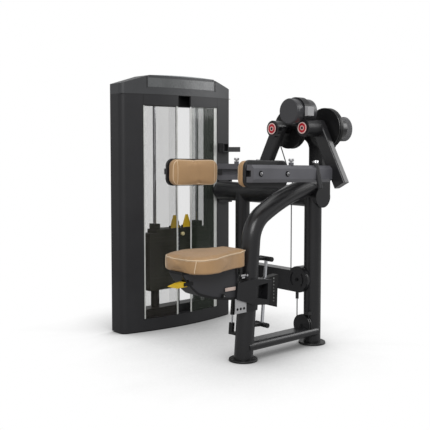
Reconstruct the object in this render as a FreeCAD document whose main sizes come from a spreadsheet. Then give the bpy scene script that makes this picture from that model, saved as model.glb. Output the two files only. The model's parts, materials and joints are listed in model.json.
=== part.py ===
import FreeCAD, Part
import math
import os

import Sketcher
from FreeCAD import Placement, Rotation, Vector

# Lateral raise machine: a weight tower, a welded frame, two swinging arms and a sliding seat.
# Millimetres, +Z up. The origin is the centre of the front foot's underside, on the floor.
# The user sits over -X and faces +X. The tower stands at +Y, on the user's left.

# Driving sizes, in millimetres and degrees, one cell each on the sheet
SIZES = {
    # Small gaps and overruns that every piece shares
    "overrun": 6,
    "slip_gap": 0.3,
    "running_gap": 0.05,
    "slide_gap": 0.5,
    # Weight tower shroud
    "tower_left": -182,
    "tower_width": 864,
    "tower_front": 800,
    "tower_back": 970,
    "front_bow_radius": 1600,
    "tower_corner_round": 38,
    "shroud_wall": 4,
    "opening_left": -42,
    "opening_width": 585,
    "tower_foot_height": 6,
    "tower_foot_radius": 22,
    "tower_foot_inset": 55,
    "base_height": 78,
    "crown_height": 1545,
    "shoulder_drop": 55,
    "seam_drop": 114,
    "band_tall": 64,
    "crown_rise": 5,
    "crown_half_width": 250,
    "cap_cavity_drop": 63,
    "band_depth": 12,
    "slot_left": 202,
    "slot_width": 97,
    "placard_left": -20,
    "placard_width": 530,
    "placard_drop": 75,
    "placard_groove": 4,
    "placard_groove_wide": 12,
    # Clear shields
    "shield_setback": 8,
    "shield_thickness": 4,
    "rear_shield_setback": 8,
    # Weight stack
    "rod_spacing": 336,
    "rod_radius": 10,
    "stack_axis_setback": 88,
    "plate_width": 480,
    "plate_depth": 95,
    "plate_thickness": 24,
    "plate_gap": 1,
    "plate_count": 13,
    "stack_bottom": 240,
    "stem_radius": 14,
    "stem_clearance": 0.6,
    "stem_head": 52,
    "head_plate_width": 380,
    "head_plate_thickness": 22,
    "pin_offset": 0,
    "pin_radius": 5,
    "pin_reach": 32,
    "pin_ball_radius": 12,
    "pin_stand_off": 20,
    "strip_width": 20,
    "strip_thickness": 3,
    "strip_offset": -25,
    "bumper_radius": 26,
    "stack_base_height": 52,
    "stack_base_depth": 84,
    "addon_width": 40,
    "addon_depth": 58,
    "addon_height": 34,
    "lever_foot_width": 66,
    "lever_height": 82,
    "lever_left_offset": -46,
    "lever_right_offset": 50,
    "lever_thickness": 12,
    "lever_tip_width": 12,
    "lever_lug_height": 18,
    "lever_lift": 3,
    # Tower pulleys and cables
    "cable_radius": 3,
    "head_pulley_radius": 50,
    "head_pulley_drop": 6,
    "head_pulley_spacing": 155,
    "pulley_width": 22,
    "pulley_bore": 8,
    "crossmember_height": 64,
    "crossmember_floor": 4,
    "crossmember_depth": 55,
    "crossmember_drop": 65,
    "tower_pulley_radius": 25,
    "tower_pulley_width": 18,
    "pulley_cheek": 8,
    "cable_room": 7,
    # Frame posts, beams and rail
    "foot_radius": 76,
    "foot_height": 12,
    "foot_round": 5,
    "front_post_diameter": 100,
    "outer_post_diameter": 97,
    "inner_post_diameter": 90,
    "tube_wall": 4,
    "post_lean": 4.8,
    "post_bend_drop": 207,
    "post_bend_radius": 170,
    "post_bend_exit": 30,
    "post_top_radius": 1173,
    "post_top_exit": 12,
    "post_end_length": 90,
    "outer_post_x": 537,
    "inner_post_y": 583,
    "post_cable_room": 5,
    "main_beam_x": 555,
    "main_beam_diameter": 120,
    "main_beam_height": 837,
    "main_beam_end": 52,
    "beam_cap": 8,
    "flange_left": 545,
    "flange_width": 112,
    "flange_height": 160,
    "flange_thickness": 14,
    "lower_beam_height": 120,
    "lower_beam_center": 352,
    "lower_beam_front": 470,
    "lower_beam_width": 70,
    "lower_flange_width": 150,
    "drum_y": 52,
    "drum_z": 366,
    "drum_wall": 5,
    "lower_beam_start": 52,
    "rail_width": 110,
    "rail_height": 48,
    "rail_bottom": 50,
    "low_pulley_y": 187,
    "riser_y": 137,
    "riser_drop": 25,
    # Pulleys low on the frame
    "low_pulley_radius": 50,
    "low_cover_radius": 75,
    "low_cover_thickness": 6,
    "cover_slot_radius": 46,
    "cover_slot_width": 12,
    "cover_slot_sweep": 84,
    "full_turn": 360,
    "base_pulley_y": 18,
    "base_pulley_z": 108,
    "base_pulley_radius": 44,
    "base_pulley_rim": 62,
    "base_pulley_x": 478,
    "base_pulley_width": 20,
    "base_pulley_pocket": 1.5,
    "sleeve_radius": 9,
    "sleeve_length": 38,
    "anchor_height": 20,
    "anchor_half_width": 15,
    "anchor_depth": 34,
    "anchor_top": 192,
    # Pivot yoke, shafts and arms
    "pivot_half_spacing": 115,
    "pivot_height": 1218,
    "yoke_front": 555,
    "yoke_depth": 70,
    "yoke_stem_width": 100,
    "yoke_arm_height": 110,
    "yoke_fillet": 60,
    "bush_wall": 6,
    "bush_length": 30,
    "bush_flange": 4,
    "bush_flange_wall": 13,
    "shaft_radius": 25,
    "shaft_collar": 4,
    "cam_radius": 105,
    "cam_thickness": 35,
    "cam_groove": 6,
    "cam_wrap": 115,
    "far_cable_y": 80,
    "far_cable_rise": 38,
    "near_cable_y": 53,
    "near_cable_rise": 66,
    "cable_lug": 18,
    "cable_lug_height": 26,
    "near_cam_x": 490,
    "far_cam_x": 452,
    "hub_front": 317,
    "far_hub_front": 321,
    "hub_radius": 45,
    "hub_cap_radius": 32,
    "hub_cap_depth": 5,
    "near_arm_x": 429,
    "far_arm_x": 355,
    "arm_width": 78,
    "arm_depth": 45,
    "arm_length": 344,
    "arm_splay_angle": 28,
    "arm_round": 9,
    # Counterweights
    "weight_radius": 69,
    "weight_length": 156,
    "weight_round": 7,
    "near_weight_x": 267,
    "near_weight_y": -61,
    "near_weight_z": 1306,
    "clamp_setback": 50,
    "clamp_width": 48,
    "clamp_wall": 8,
    "far_weight_x": 705,
    "far_weight_near_end": -88,
    "far_clamp_depth": 80,
    "far_clamp_height": 96,
    "far_clamp_back": 35,
    # Arm bars, grips and knobs, in each bar's own frame
    "bar_start_x": -149,
    "bar_start_z": 988,
    "bar_slope": 1.4,
    "bar_outer_y": 230,
    "bar_thickness": 50,
    "bar_height": 87,
    "bar_face_height": 53,
    "bar_bevel": 17,
    "rail_slot_height": 31,
    "rail_slot_depth": 30,
    "grip_along": 464,
    "grip_radius": 14,
    "grip_length": 140,
    "grip_lean": 15,
    "grip_offset": 1,
    "grip_drop": 10,
    "grip_cap_radius": 17,
    "grip_cap_height": 11,
    "knob_along": 286,
    "knob_base_radius": 13,
    "knob_base_height": 14,
    "knob_radius": 14,
    "knob_height": 15,
    "knob_stem_radius": 5,
    "knob_stem_gap": 4,
    "knob_pin_depth": 28,
    # Arm pads
    "near_pad_along": -4,
    "far_pad_along": -226,
    "pad_length": 300,
    "pad_height": 135,
    "pad_corner_round": 38,
    "pad_inner_y": 110,
    "pad_depth": 48,
    "pad_crown": 7,
    "pad_pull_in": 4,
    "shell_depth": 17,
    "shell_wall": 6,
    "shell_overhang": 5,
    "shell_drop": 2,
    "slide_start": 20,
    "slide_length": 360,
    "slide_height": 30,
    # Seat, in the front post's leaning frame for the carriage
    "seat_top": 588,
    "seat_thickness": 70,
    "seat_crown": 5,
    "seat_pull_in": 5,
    "seat_back_x": -444,
    "seat_front_x": -52,
    "seat_half_width": 170,
    "lever_tip_share": 0.55,
    "lever_high_share": 0.7,
    "lever_low_share": 0.8,
    "carriage_half_width": 60,
    "carriage_back_low_x": -102,
    "carriage_back_low_z": 345,
    "carriage_waist_x": 24,
    "carriage_waist_z": 298,
    "carriage_front_low_x": 127,
    "carriage_front_low_z": 287,
    "carriage_front_high_x": 154,
    "carriage_front_high_z": 416,
    "carriage_crest_x": 23,
    "carriage_crest_z": 435,
    "carriage_back_high_x": -93,
    "carriage_back_high_z": 425,
    "window_left": 28,
    "window_right_low": 117,
    "window_right_high": 121,
    "window_left_low_z": 337,
    "window_right_low_z": 315,
    "window_right_high_z": 403,
    "window_left_high_z": 395,
    "window_depth": 45,
    "sleeve_wall": 8,
    "sleeve_low": 270,
    "sleeve_high": 425,
    "indicator_low_x": 231,
    "indicator_low_z": 252,
    "indicator_high_x": 237,
    "indicator_high_z": 430,
    "indicator_half_width": 20,
    "guide_rod_offset": 122,
    "guide_rod_radius": 9,
    "guide_rod_start": 178,
    "guide_rod_length": 366,
    "crossbar_radius": 13,
    "crossbar_half_length": 45,
    "crossbar_low": 180,
    "crossbar_high": 533,
    "lug_half_width": 11,
    "lug_height": 16,
    "gas_offset_x": -31,
    "gas_offset_y": 72,
    "gas_body_radius": 12,
    "gas_body_length": 145,
    "gas_body_low": 230,
    "gas_end_wall": 12,
    "gas_rod_room": 45,
    "gas_lug_reach": 20,
    "gas_lug_height": 16,
    "gas_rod_radius": 5,
    "gas_rod_bore": 0.3,
    "gas_block_top": 187,
    "gas_block_height": 60,
    "gas_block_radius": 15,
    "bracket_half_width": 50,
    "bracket_rim": 11,
    "bracket_recess": 5,
    "bracket_back_z": 506,
    "bracket_turn_x": -346,
    "bracket_turn_z": 395,
    "bracket_front_x": -84,
    "bracket_front_z": 341,
    "bracket_rear_radius": 408,
    "bracket_under_radius": 819,
    "bracket_back_x": -448,
    "lever_pin_x": -424,
    "lever_pin_z": 456,
    "lever_pin_radius": 4,
    "lever_handle_length": 91,
    "lever_handle_height": 30,
    "lever_half_width": 13,
    "lever_root_radius": 11,
    "lever_y": -33,
    "lever_ear": 5,
    # Fasteners and small parts
    "bolt_head_radius": 9,
    "bolt_head_height": 6,
    "flange_bolt_inset": 16,
    "hook_height": 1085,
    "hook_left": 549,
    "hook_width": 146,
    "hook_front": 776,
    "hook_depth": 96,
    "hook_tall": 32,
    "hook_horn": 44,
    "hook_horn_tall": 56,
    "hook_wall": 5,
}

doc = FreeCAD.newDocument("LateralRaiseMachine")
sheet = doc.addObject("Spreadsheet::Sheet", "Sizes")


class Size:
    """A size that knows its number and the expression that gives it on the sheet."""

    def __init__(self, number, text):
        self.number = float(number)
        self.text = text

    def __float__(self):
        return self.number

    def __neg__(self):
        return Size(-self.number, f"-({self.text})")

    def __add__(self, other):
        other = as_size(other)
        return Size(self.number + other.number, f"({self.text} + {other.text})")

    def __radd__(self, other):
        return as_size(other) + self

    def __sub__(self, other):
        other = as_size(other)
        return Size(self.number - other.number, f"({self.text} - {other.text})")

    def __rsub__(self, other):
        return as_size(other) - self

    def __mul__(self, other):
        other = as_size(other)
        return Size(self.number * other.number, f"({self.text} * {other.text})")

    def __rmul__(self, other):
        return as_size(other) * self

    def __truediv__(self, other):
        other = as_size(other)
        return Size(self.number / other.number, f"({self.text} / {other.text})")


def as_size(thing):
    """Take a zero, a count or a share as a size of its own."""
    if isinstance(thing, Size):
        return thing
    return Size(thing, f"({thing!r})")


def root(size):
    return Size(math.sqrt(size.number), f"sqrt({size.text})")


def sine(angle):
    return Size(math.sin(math.radians(angle.number)), f"sin({angle.text})")


def cosine(angle):
    return Size(math.cos(math.radians(angle.number)), f"cos({angle.text})")


class Cells:
    """The sheet's aliases, as attributes."""


s = Cells()
for row, (alias, number) in enumerate(SIZES.items(), start=1):
    sheet.set(f"A{row}", alias)
    sheet.set(f"B{row}", str(number))
    sheet.setAlias(f"B{row}", alias)
    setattr(s, alias, Size(number, f"Sizes.{alias}"))
doc.recompute()

ZERO = as_size(0)
PLANES = {"X": "YZ_Plane", "Y": "XZ_Plane", "Z": "XY_Plane"}
NEAR = -1
FAR = 1
ALIGNED_SHARE = 0.999
LARGEST_ROUND_SHARE = 0.98
DIAGONAL_SHARE = math.sqrt(0.5)
PICK_REACH = 1.0
SAME_PLANE = 0.01
nodes = {}


def bind(thing, name, size):
    """Tie a property of an object to the sheet."""
    thing.setExpression(name, as_size(size).text)


def node(thing, label):
    """Keep an object as a named sub-part."""
    thing.Label = label
    nodes[label] = thing
    return thing


def place(thing, x=ZERO, y=ZERO, z=ZERO, axis=None, angle=None):
    """Put an object at a named place, turned about an axis by a named angle."""
    if axis is not None:
        thing.Placement = Placement(Vector(), Rotation(axis, 1.0))
        bind(thing, "Placement.Rotation.Angle", angle)
    bind(thing, "Placement.Base.x", x)
    bind(thing, "Placement.Base.y", y)
    bind(thing, "Placement.Base.z", z)
    return thing


def corner(x, y, rounding=None, bow=None, inward=False):
    """One corner of an outline. bow is the radius of a curved edge to the next corner."""
    return {"x": as_size(x), "y": as_size(y), "rounding": rounding, "bow": bow, "inward": inward}


def ring(x, y, radius):
    """A full circle in an outline."""
    return {"x": as_size(x), "y": as_size(y), "radius": as_size(radius)}


def hold(sketch, kind, geometry, point, size):
    """Hold one coordinate of a sketch point at a named size."""
    number = sketch.addConstraint(Sketcher.Constraint(kind, -1, 1, geometry, point, float(size)))
    bind(sketch, f"Constraints[{number}]", size)


def hold_radius(sketch, geometry, size):
    number = sketch.addConstraint(Sketcher.Constraint("Radius", geometry, float(size)))
    bind(sketch, f"Constraints[{number}]", size)


def add_arc(sketch, start, middle, end):
    """Add an arc counter-clockwise, and say which of its ends is the start and which the end."""
    if (middle - start).cross(end - middle).z > 0:
        return sketch.addGeometry(Part.Arc(start, middle, end)), 1, 2
    return sketch.addGeometry(Part.Arc(end, middle, start)), 2, 1


def bowed_middle(start, end, radius, inward):
    """The middle point of a curved edge that swells to the right of its direction."""
    chord = end - start
    half = chord.Length / 2
    rise = radius - math.sqrt(max(radius * radius - half * half, 0.0))
    right = Vector(chord.y, -chord.x, 0).normalize()
    return (start + end) / 2 + right * (-rise if inward else rise)


def draw_loop(sketch, corners):
    """Draw a closed outline, with every corner and radius tied to the sheet."""
    count = len(corners)
    points = [Vector(float(c["x"]), float(c["y"]), 0) for c in corners]
    leaves = []
    arrives = []
    for i, point in enumerate(points):
        rounding = corners[i]["rounding"]
        if rounding is None:
            leaves.append(point)
            arrives.append(point)
            continue
        before = (points[i - 1] - point).normalize()
        after = (points[(i + 1) % count] - point).normalize()
        half_turn = before.getAngle(after) / 2
        trim = float(rounding) / math.tan(half_turn)
        arrives.append(point + before * trim)
        leaves.append(point + after * trim)
    edges = []
    for i in range(count):
        start, end = leaves[i], arrives[(i + 1) % count]
        bow = corners[i]["bow"]
        if bow is None:
            edges.append((sketch.addGeometry(Part.LineSegment(start, end)), 1, 2))
        else:
            middle = bowed_middle(start, end, float(bow), corners[i]["inward"])
            edges.append(add_arc(sketch, start, middle, end))
    for i, point in enumerate(points):
        before, after = edges[i - 1], edges[i]
        rounding = corners[i]["rounding"]
        if rounding is None:
            sketch.addConstraint(Sketcher.Constraint("Coincident", before[0], before[2], after[0], after[1]))
            held, end_point = after[0], after[1]
        else:
            chord_middle = (arrives[i] + leaves[i]) / 2
            outward = (point - chord_middle).normalize()
            half = (leaves[i] - arrives[i]).Length / 2
            rise = float(rounding) - math.sqrt(float(rounding) ** 2 - half ** 2)
            arc = add_arc(sketch, arrives[i], chord_middle + outward * rise, leaves[i])
            sketch.addConstraint(Sketcher.Constraint("Tangent", before[0], before[2], arc[0], arc[1]))
            sketch.addConstraint(Sketcher.Constraint("Tangent", arc[0], arc[2], after[0], after[1]))
            hold_radius(sketch, arc[0], rounding)
            held, end_point = sketch.addGeometry(Part.Point(point), True), 1
            sketch.addConstraint(Sketcher.Constraint("PointOnObject", held, 1, before[0]))
            sketch.addConstraint(Sketcher.Constraint("PointOnObject", held, 1, after[0]))
        hold(sketch, "DistanceX", held, end_point, corners[i]["x"])
        hold(sketch, "DistanceY", held, end_point, corners[i]["y"])
    for i in range(count):
        if corners[i]["bow"] is not None:
            hold_radius(sketch, edges[i][0], corners[i]["bow"])


def draw(sketch, loops):
    for loop in loops:
        if isinstance(loop, dict):
            centre = Vector(float(loop["x"]), float(loop["y"]), 0)
            circle = sketch.addGeometry(Part.Circle(centre, Vector(0, 0, 1), float(loop["radius"])))
            hold(sketch, "DistanceX", circle, 3, loop["x"])
            hold(sketch, "DistanceY", circle, 3, loop["y"])
            hold_radius(sketch, circle, loop["radius"])
        else:
            draw_loop(sketch, loop)


def sketch_in(body, axis, loops, height):
    """A sketch square to an axis, at a named height along it."""
    sketch = body.newObject("Sketcher::SketchObject", f"{body.Name}_outline")
    plane = [f for f in body.Origin.OriginFeatures if f.Role == PLANES[axis]][0]
    sketch.AttachmentSupport = [(plane, "")]
    sketch.MapMode = "FlatFace"
    bind(sketch, "AttachmentOffset.Base.z", -as_size(height) if axis == "Y" else height)
    draw(sketch, loops)
    return sketch


def new_body(name):
    return doc.addObject("PartDesign::Body", name)


def pad(body, axis, loops, low, high):
    """Fill outlines from low to high along an axis."""
    sketch = sketch_in(body, axis, loops, high if axis == "Y" else low)
    feature = body.newObject("PartDesign::Pad", f"{body.Name}_pad")
    feature.Profile = sketch
    bind(feature, "Length", as_size(high) - low)
    doc.recompute()
    return body


def prism(name, axis, loops, low, high):
    return pad(new_body(name), axis, loops, low, high)


def pocket(body, axis, loops, low, high):
    """Cut outlines out of a body from low to high along an axis."""
    before = body.Shape.Volume
    sketch = sketch_in(body, axis, loops, low if axis == "Y" else high)
    feature = body.newObject("PartDesign::Pocket", f"{body.Name}_pocket")
    feature.Profile = sketch
    bind(feature, "Length", as_size(high) - low)
    doc.recompute()
    if body.Shape.Volume >= before:
        raise RuntimeError(f"pocket cut nothing in {body.Name}")
    return body


def soften(body, radius, pick, chamfer=False):
    """Round or bevel the edges of a body's last feature that pick accepts."""
    tip = body.Tip
    names = [f"Edge{i + 1}" for i, edge in enumerate(tip.Shape.Edges) if pick(edge)]
    kind = "Chamfer" if chamfer else "Fillet"
    feature = body.newObject(f"PartDesign::{kind}", f"{body.Name}_{kind.lower()}")
    feature.Base = (tip, names)
    bind(feature, "Size" if chamfer else "Radius", radius)
    doc.recompute()
    return body


def straight_along(axis):
    """Accept straight edges that run along an axis."""
    def pick(edge):
        if edge.Curve.TypeId != "Part::GeomLine":
            return False
        return abs(getattr(edge.Curve.Direction, axis.lower())) > ALIGNED_SHARE
    return pick


def near_place(x=None, y=None, z=None, reach=PICK_REACH, also=None):
    """Accept edges whose middle lies at the given coordinates."""
    def pick(edge):
        middle = edge.BoundBox.Center
        for wanted, found in ((x, middle.x), (y, middle.y), (z, middle.z)):
            if wanted is not None and abs(float(wanted) - found) > reach:
                return False
        return also is None or also(edge)
    return pick


def hollow(body, wall, axis):
    """Leave a wall of a body, open at both ends of an axis."""
    tip = body.Tip
    names = []
    for i, face in enumerate(tip.Shape.Faces):
        if face.Surface.TypeId == "Part::GeomPlane":
            if abs(getattr(face.normalAt(0, 0), axis.lower())) > ALIGNED_SHARE:
                names.append(f"Face{i + 1}")
    feature = body.newObject("PartDesign::Thickness", f"{body.Name}_wall")
    feature.Base = (tip, names)
    feature.Reversed = True
    bind(feature, "Value", wall)
    doc.recompute()
    return body


def turned(name, axis, profile):
    """Turn a profile about an axis through the origin. Its corners are (along, radius)."""
    body = new_body(name)
    plane = "Z" if axis == "X" else "X"
    if axis == "X":
        sketch = sketch_in(body, "Z", [profile], ZERO)
        reference = "H_Axis"
    elif axis == "Y":
        sketch = sketch_in(body, plane, [profile], ZERO)
        reference = "H_Axis"
    else:
        flipped = [dict(c, x=c["y"], y=c["x"]) for c in profile]
        sketch = sketch_in(body, "Y", [flipped], ZERO)
        reference = "V_Axis"
    feature = body.newObject("PartDesign::Revolution", f"{name}_turned")
    feature.Profile = sketch
    feature.ReferenceAxis = (sketch, [reference])
    doc.recompute()
    return body


def tube_profile(start, end, outer, inner=None):
    """The half section of a disc, or of a tube with a bore."""
    low = ZERO if inner is None else inner
    return [corner(start, low), corner(end, low), corner(end, outer), corner(start, outer)]


def cylinder(name, axis, radius, start, end, x=ZERO, y=ZERO, z=ZERO):
    """A plain round bar from start to end along an axis."""
    bar = doc.addObject("Part::Cylinder", name)
    bind(bar, "Radius", radius)
    bind(bar, "Height", as_size(end) - start)
    turns = {"X": (Vector(0, 1, 0), 90), "Y": (Vector(1, 0, 0), -90), "Z": (Vector(0, 0, 1), 0)}
    bar.Placement = Placement(Vector(), Rotation(*turns[axis]))
    at = {"X": x, "Y": y, "Z": z}
    at[axis] = start
    bind(bar, "Placement.Base.x", at["X"])
    bind(bar, "Placement.Base.y", at["Y"])
    bind(bar, "Placement.Base.z", at["Z"])
    return bar


def box(name, x, y, z):
    """A block between named (low, high) pairs."""
    block = doc.addObject("Part::Box", name)
    for prop, along, (low, high) in (("Length", "x", x), ("Width", "y", y), ("Height", "z", z)):
        bind(block, prop, as_size(high) - low)
        bind(block, f"Placement.Base.{along}", low)
    return block


def cut(name, base, *tools):
    """Cut tools out of a base."""
    for count, tool in enumerate(tools):
        result = doc.addObject("Part::Cut", name if count == len(tools) - 1 else f"{name}_cut")
        result.Base = base
        result.Tool = tool
        base = result
    return base


def fuse(name, *pieces):
    result = doc.addObject("Part::MultiFuse", name)
    result.Shapes = list(pieces)
    result.Refine = True
    return result


def common(name, base, tool):
    result = doc.addObject("Part::Common", name)
    result.Base = base
    result.Tool = tool
    return result


def group(name, *pieces):
    """Separate solids that share one node."""
    result = doc.addObject("Part::Compound", name)
    result.Links = list(pieces)
    return result


def made(name, shape):
    """A shape made from named sizes with the kernel's own functions."""
    feature = doc.addObject("Part::Feature", name)
    feature.Shape = shape
    return feature


# Places that several pieces share
tower_right = s.tower_left + s.tower_width
tower_centre = s.tower_left + s.tower_width / 2
opening_right = s.opening_left + s.opening_width
slot_right = s.slot_left + s.slot_width
shoulder_height = s.crown_height - s.shoulder_drop
seam_height = s.crown_height - s.seam_drop
band_bottom = seam_height - s.band_tall
crossmember_bottom = seam_height - s.crossmember_drop
head_pulley_z = seam_height - s.head_pulley_drop
stack_y = s.tower_front + s.stack_axis_setback
plate_pitch = s.plate_thickness + s.plate_gap
lifted_bottom = s.stack_bottom + plate_pitch * s.plate_count
lifted_top = lifted_bottom + s.plate_thickness
head_plate_top = lifted_top + s.plate_gap + s.head_plate_thickness
plate_front = stack_y - s.plate_depth / 2
pin_x = tower_centre + s.pin_offset
pin_z = lifted_bottom + s.plate_thickness / 2
stem_top = head_plate_top + s.stem_head
head_pulley_left_x = tower_centre + s.head_pulley_radius
head_pulley_right_x = head_pulley_left_x + s.head_pulley_spacing
cable_fall_x = head_pulley_right_x + s.head_pulley_radius
cable_run_z = s.lower_beam_center - s.low_pulley_radius
tower_pulley_y = stack_y - s.tower_pulley_radius
tower_pulley_z = cable_run_z + s.tower_pulley_radius
lower_beam_right = s.lower_beam_front + s.lower_beam_width
seat_bottom = s.seat_top - s.seat_thickness
main_beam_radius = s.main_beam_diameter / 2
far_cable_z = s.main_beam_height + s.far_cable_rise
post_straight = s.main_beam_height - s.post_bend_drop
yoke_back = s.yoke_front + s.yoke_depth
bush_radius = s.shaft_radius + s.running_gap + s.bush_wall


def front_bow(x):
    """How far back the bowed front of the tower lies at a place across it."""
    across = x - tower_centre
    return s.tower_front + s.front_bow_radius - root(s.front_bow_radius * s.front_bow_radius - across * across)


def plan_outline(left, right, back):
    """The tower's outline from above, between two places across it."""
    return [
        corner(left, back),
        corner(left, front_bow(left), bow=s.front_bow_radius),
        corner(right, front_bow(right)),
        corner(right, back),
    ]


def bowed_sheet(left, right, setback, thickness):
    """The outline of a thin sheet that follows the tower's bowed front."""
    near_left = front_bow(left) + setback
    near_right = front_bow(right) + setback
    return [
        corner(left, near_left, bow=s.front_bow_radius),
        corner(right, near_right),
        corner(right, near_right + thickness, bow=s.front_bow_radius, inward=True),
        corner(left, near_left + thickness),
    ]


def column_block(name, left, right, outer_x, high):
    """A solid column with a bowed front and one large rounded corner."""
    body = prism(name, "Z", [plan_outline(left, right, s.tower_back)], s.tower_foot_height, high)
    vertical = near_place(x=outer_x, y=front_bow(outer_x), also=straight_along("Z"))
    return soften(body, s.tower_corner_round, vertical)


def tower_column(name, left, right, outer_x):
    """A hollow column with a floor plate that stands on the feet."""
    shell = hollow(column_block(f"{name}_shell", left, right, outer_x, seam_height), s.shroud_wall, "Z")
    floor = column_block(f"{name}_floor", left, right, outer_x, s.tower_foot_height + s.shroud_wall)
    return node(fuse(name, shell, floor), name)


def tower_cap():
    """The head cover: a crowned top over the bowed plan, hollow underneath."""
    plan = prism("cap_plan", "Z", [plan_outline(s.tower_left, tower_right, s.tower_back)],
                 seam_height, s.crown_height + s.crown_rise + s.overrun)
    for outer_x in (s.tower_left, tower_right):
        soften(plan, s.tower_corner_round, near_place(x=outer_x, y=front_bow(outer_x), also=straight_along("Z")))
    half = s.crown_half_width
    crown_bow = (half * half + s.crown_rise * s.crown_rise) / (s.crown_rise * 2)
    front = s.tower_front - s.overrun
    back = s.tower_back + s.overrun
    outline = [
        corner(s.tower_left, seam_height),
        corner(tower_right, seam_height),
        corner(tower_right, shoulder_height),
        corner(tower_centre + half, s.crown_height, bow=crown_bow),
        corner(tower_centre - half, s.crown_height),
        corner(s.tower_left, shoulder_height),
    ]
    elevation = prism("cap_elevation", "Y", [outline], front, back)
    wall = s.shroud_wall
    cavity = prism("cap_cavity", "Z",
                   [plan_outline(s.tower_left + s.tower_corner_round, tower_right - s.tower_corner_round,
                                 s.tower_back - wall * 3)],
                   seam_height - s.overrun, s.crown_height - s.cap_cavity_drop)
    place(cavity, y=wall + wall)
    placard_right = s.placard_left + s.placard_width
    groove_depth = (s.crown_height - s.placard_drop, s.crown_height + s.crown_rise + s.overrun)
    reach = (front, front_bow(s.placard_left) + wall)
    thin = box("placard_groove_thin", (s.placard_left, s.placard_left + s.placard_groove), reach, groove_depth)
    wide = box("placard_groove_wide", (placard_right, placard_right + s.placard_groove_wide), reach, groove_depth)
    whole = common("cap_whole", plan, elevation)
    return node(cut("tower_top_cap", whole, cavity, thin, wide), "tower_top_cap")


def tower_base_cover():
    """The low cover between the columns, under the clear shields."""
    body = prism("base_cover", "Z", [plan_outline(s.opening_left, opening_right, s.tower_back)],
                 s.tower_foot_height, s.base_height)
    wall = s.shroud_wall
    left, right = s.opening_left + wall, opening_right - wall
    inside = [
        corner(left, s.tower_back - wall),
        corner(left, front_bow(left) + wall, bow=s.front_bow_radius),
        corner(right, front_bow(right) + wall),
        corner(right, s.tower_back - wall),
    ]
    return pocket(body, "Z", [inside], s.tower_foot_height, s.base_height - wall)


def tower_covers():
    """The low cover, and two bowed panels above the opening, left and right of the centre slot."""
    pieces = [tower_base_cover()]
    for name, left, right in (("band_left", s.opening_left, s.slot_left), ("band_right", slot_right, opening_right)):
        outline = bowed_sheet(left, right, ZERO, s.band_depth)
        pieces.append(prism(name, "Z", [outline], band_bottom, seam_height))
    return node(group("tower_covers", *pieces), "tower_covers")


def shields():
    """Clear bowed sheets in front with a slot between them, and a flat sheet behind."""
    sheets = []
    for name, left, right in (("shield_left", s.opening_left, s.slot_left), ("shield_right", slot_right, opening_right)):
        outline = bowed_sheet(left, right, s.shield_setback, s.shield_thickness)
        sheets.append(prism(name, "Z", [outline], s.base_height, band_bottom))
    hole = cylinder("shield_cable_hole", "Y", s.cable_room, s.tower_front, plate_front,
                    x=cable_fall_x, z=cable_run_z)
    node(group("front_shields", sheets[0], cut("shield_right_bored", sheets[1], hole)), "front_shields")
    back_y = s.tower_back - s.rear_shield_setback
    node(box("rear_shield", (s.opening_left, opening_right), (back_y, back_y + s.shield_thickness),
             (s.base_height, seam_height)), "rear_shield")


def foot(name, x):
    """A thin round foot disc with a rounded top edge."""
    disc = turned(name, "Z", [
        corner(ZERO, ZERO),
        corner(ZERO, s.foot_radius),
        corner(s.foot_height, s.foot_radius, rounding=s.foot_round),
        corner(s.foot_height, ZERO),
    ])
    return place(disc, x=x)


def feet():
    """Two large discs under the posts and four small round feet under the tower."""
    pieces = [foot("front_foot", ZERO), foot("outer_foot", s.outer_post_x)]
    for side_x, inward in ((s.tower_left, s.tower_foot_inset), (tower_right, -s.tower_foot_inset)):
        for foot_y in (s.tower_back - s.tower_foot_inset / 2, front_bow(side_x) + s.tower_foot_inset / 2):
            pieces.append(cylinder("tower_foot", "Z", s.tower_foot_radius, ZERO, s.tower_foot_height,
                                   x=side_x + inward, y=foot_y))
    return node(group("feet", *pieces), "feet")


def rod_places():
    return (tower_centre - s.rod_spacing / 2, tower_centre + s.rod_spacing / 2)


def guide_rods():
    """Two chrome rods that the lifted plates run on."""
    low = s.base_height + s.stack_base_height
    pieces = [cylinder("guide_rod", "Z", s.rod_radius, low, crossmember_bottom, x=x, y=stack_y)
              for x in rod_places()]
    return node(group("guide_rods", *pieces), "guide_rods")


def stack_base():
    """The low support, the rubber bumpers under the plates and the cheek of the tower pulley."""
    low = s.base_height
    high = low + s.stack_base_height
    pieces = [box("stack_base_beam", (s.opening_left, opening_right),
                  (stack_y - s.stack_base_depth / 2, stack_y + s.stack_base_depth / 2), (low, high))]
    for x in rod_places():
        post = cylinder("stack_bumper", "Z", s.bumper_radius, high, s.stack_bottom, x=x, y=stack_y)
        bore = cylinder("bumper_bore", "Z", s.rod_radius, high, s.stack_bottom, x=x, y=stack_y)
        pieces.append(cut("bumper", post, bore))
    cheek_x = cable_fall_x + s.tower_pulley_width / 2 + s.slide_gap * 2
    half = s.tower_pulley_radius / 2
    pieces.append(box("pulley_cheek", (cheek_x, cheek_x + s.pulley_cheek),
                      (tower_pulley_y - half, tower_pulley_y + half), (high, tower_pulley_z + half)))
    return node(group("stack_base", *pieces), "stack_base")


def plate_loops(width, depth, stem_bore):
    """A plate from above, with its two rod holes and its stem hole."""
    left = tower_centre - width / 2
    right = tower_centre + width / 2
    front = stack_y - depth / 2
    back = stack_y + depth / 2
    loops = [[corner(left, front), corner(right, front), corner(right, back), corner(left, back)]]
    loops += [ring(x, stack_y, s.rod_radius + s.slide_gap) for x in rod_places()]
    loops.append(ring(tower_centre, stack_y, stem_bore))
    return loops


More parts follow.
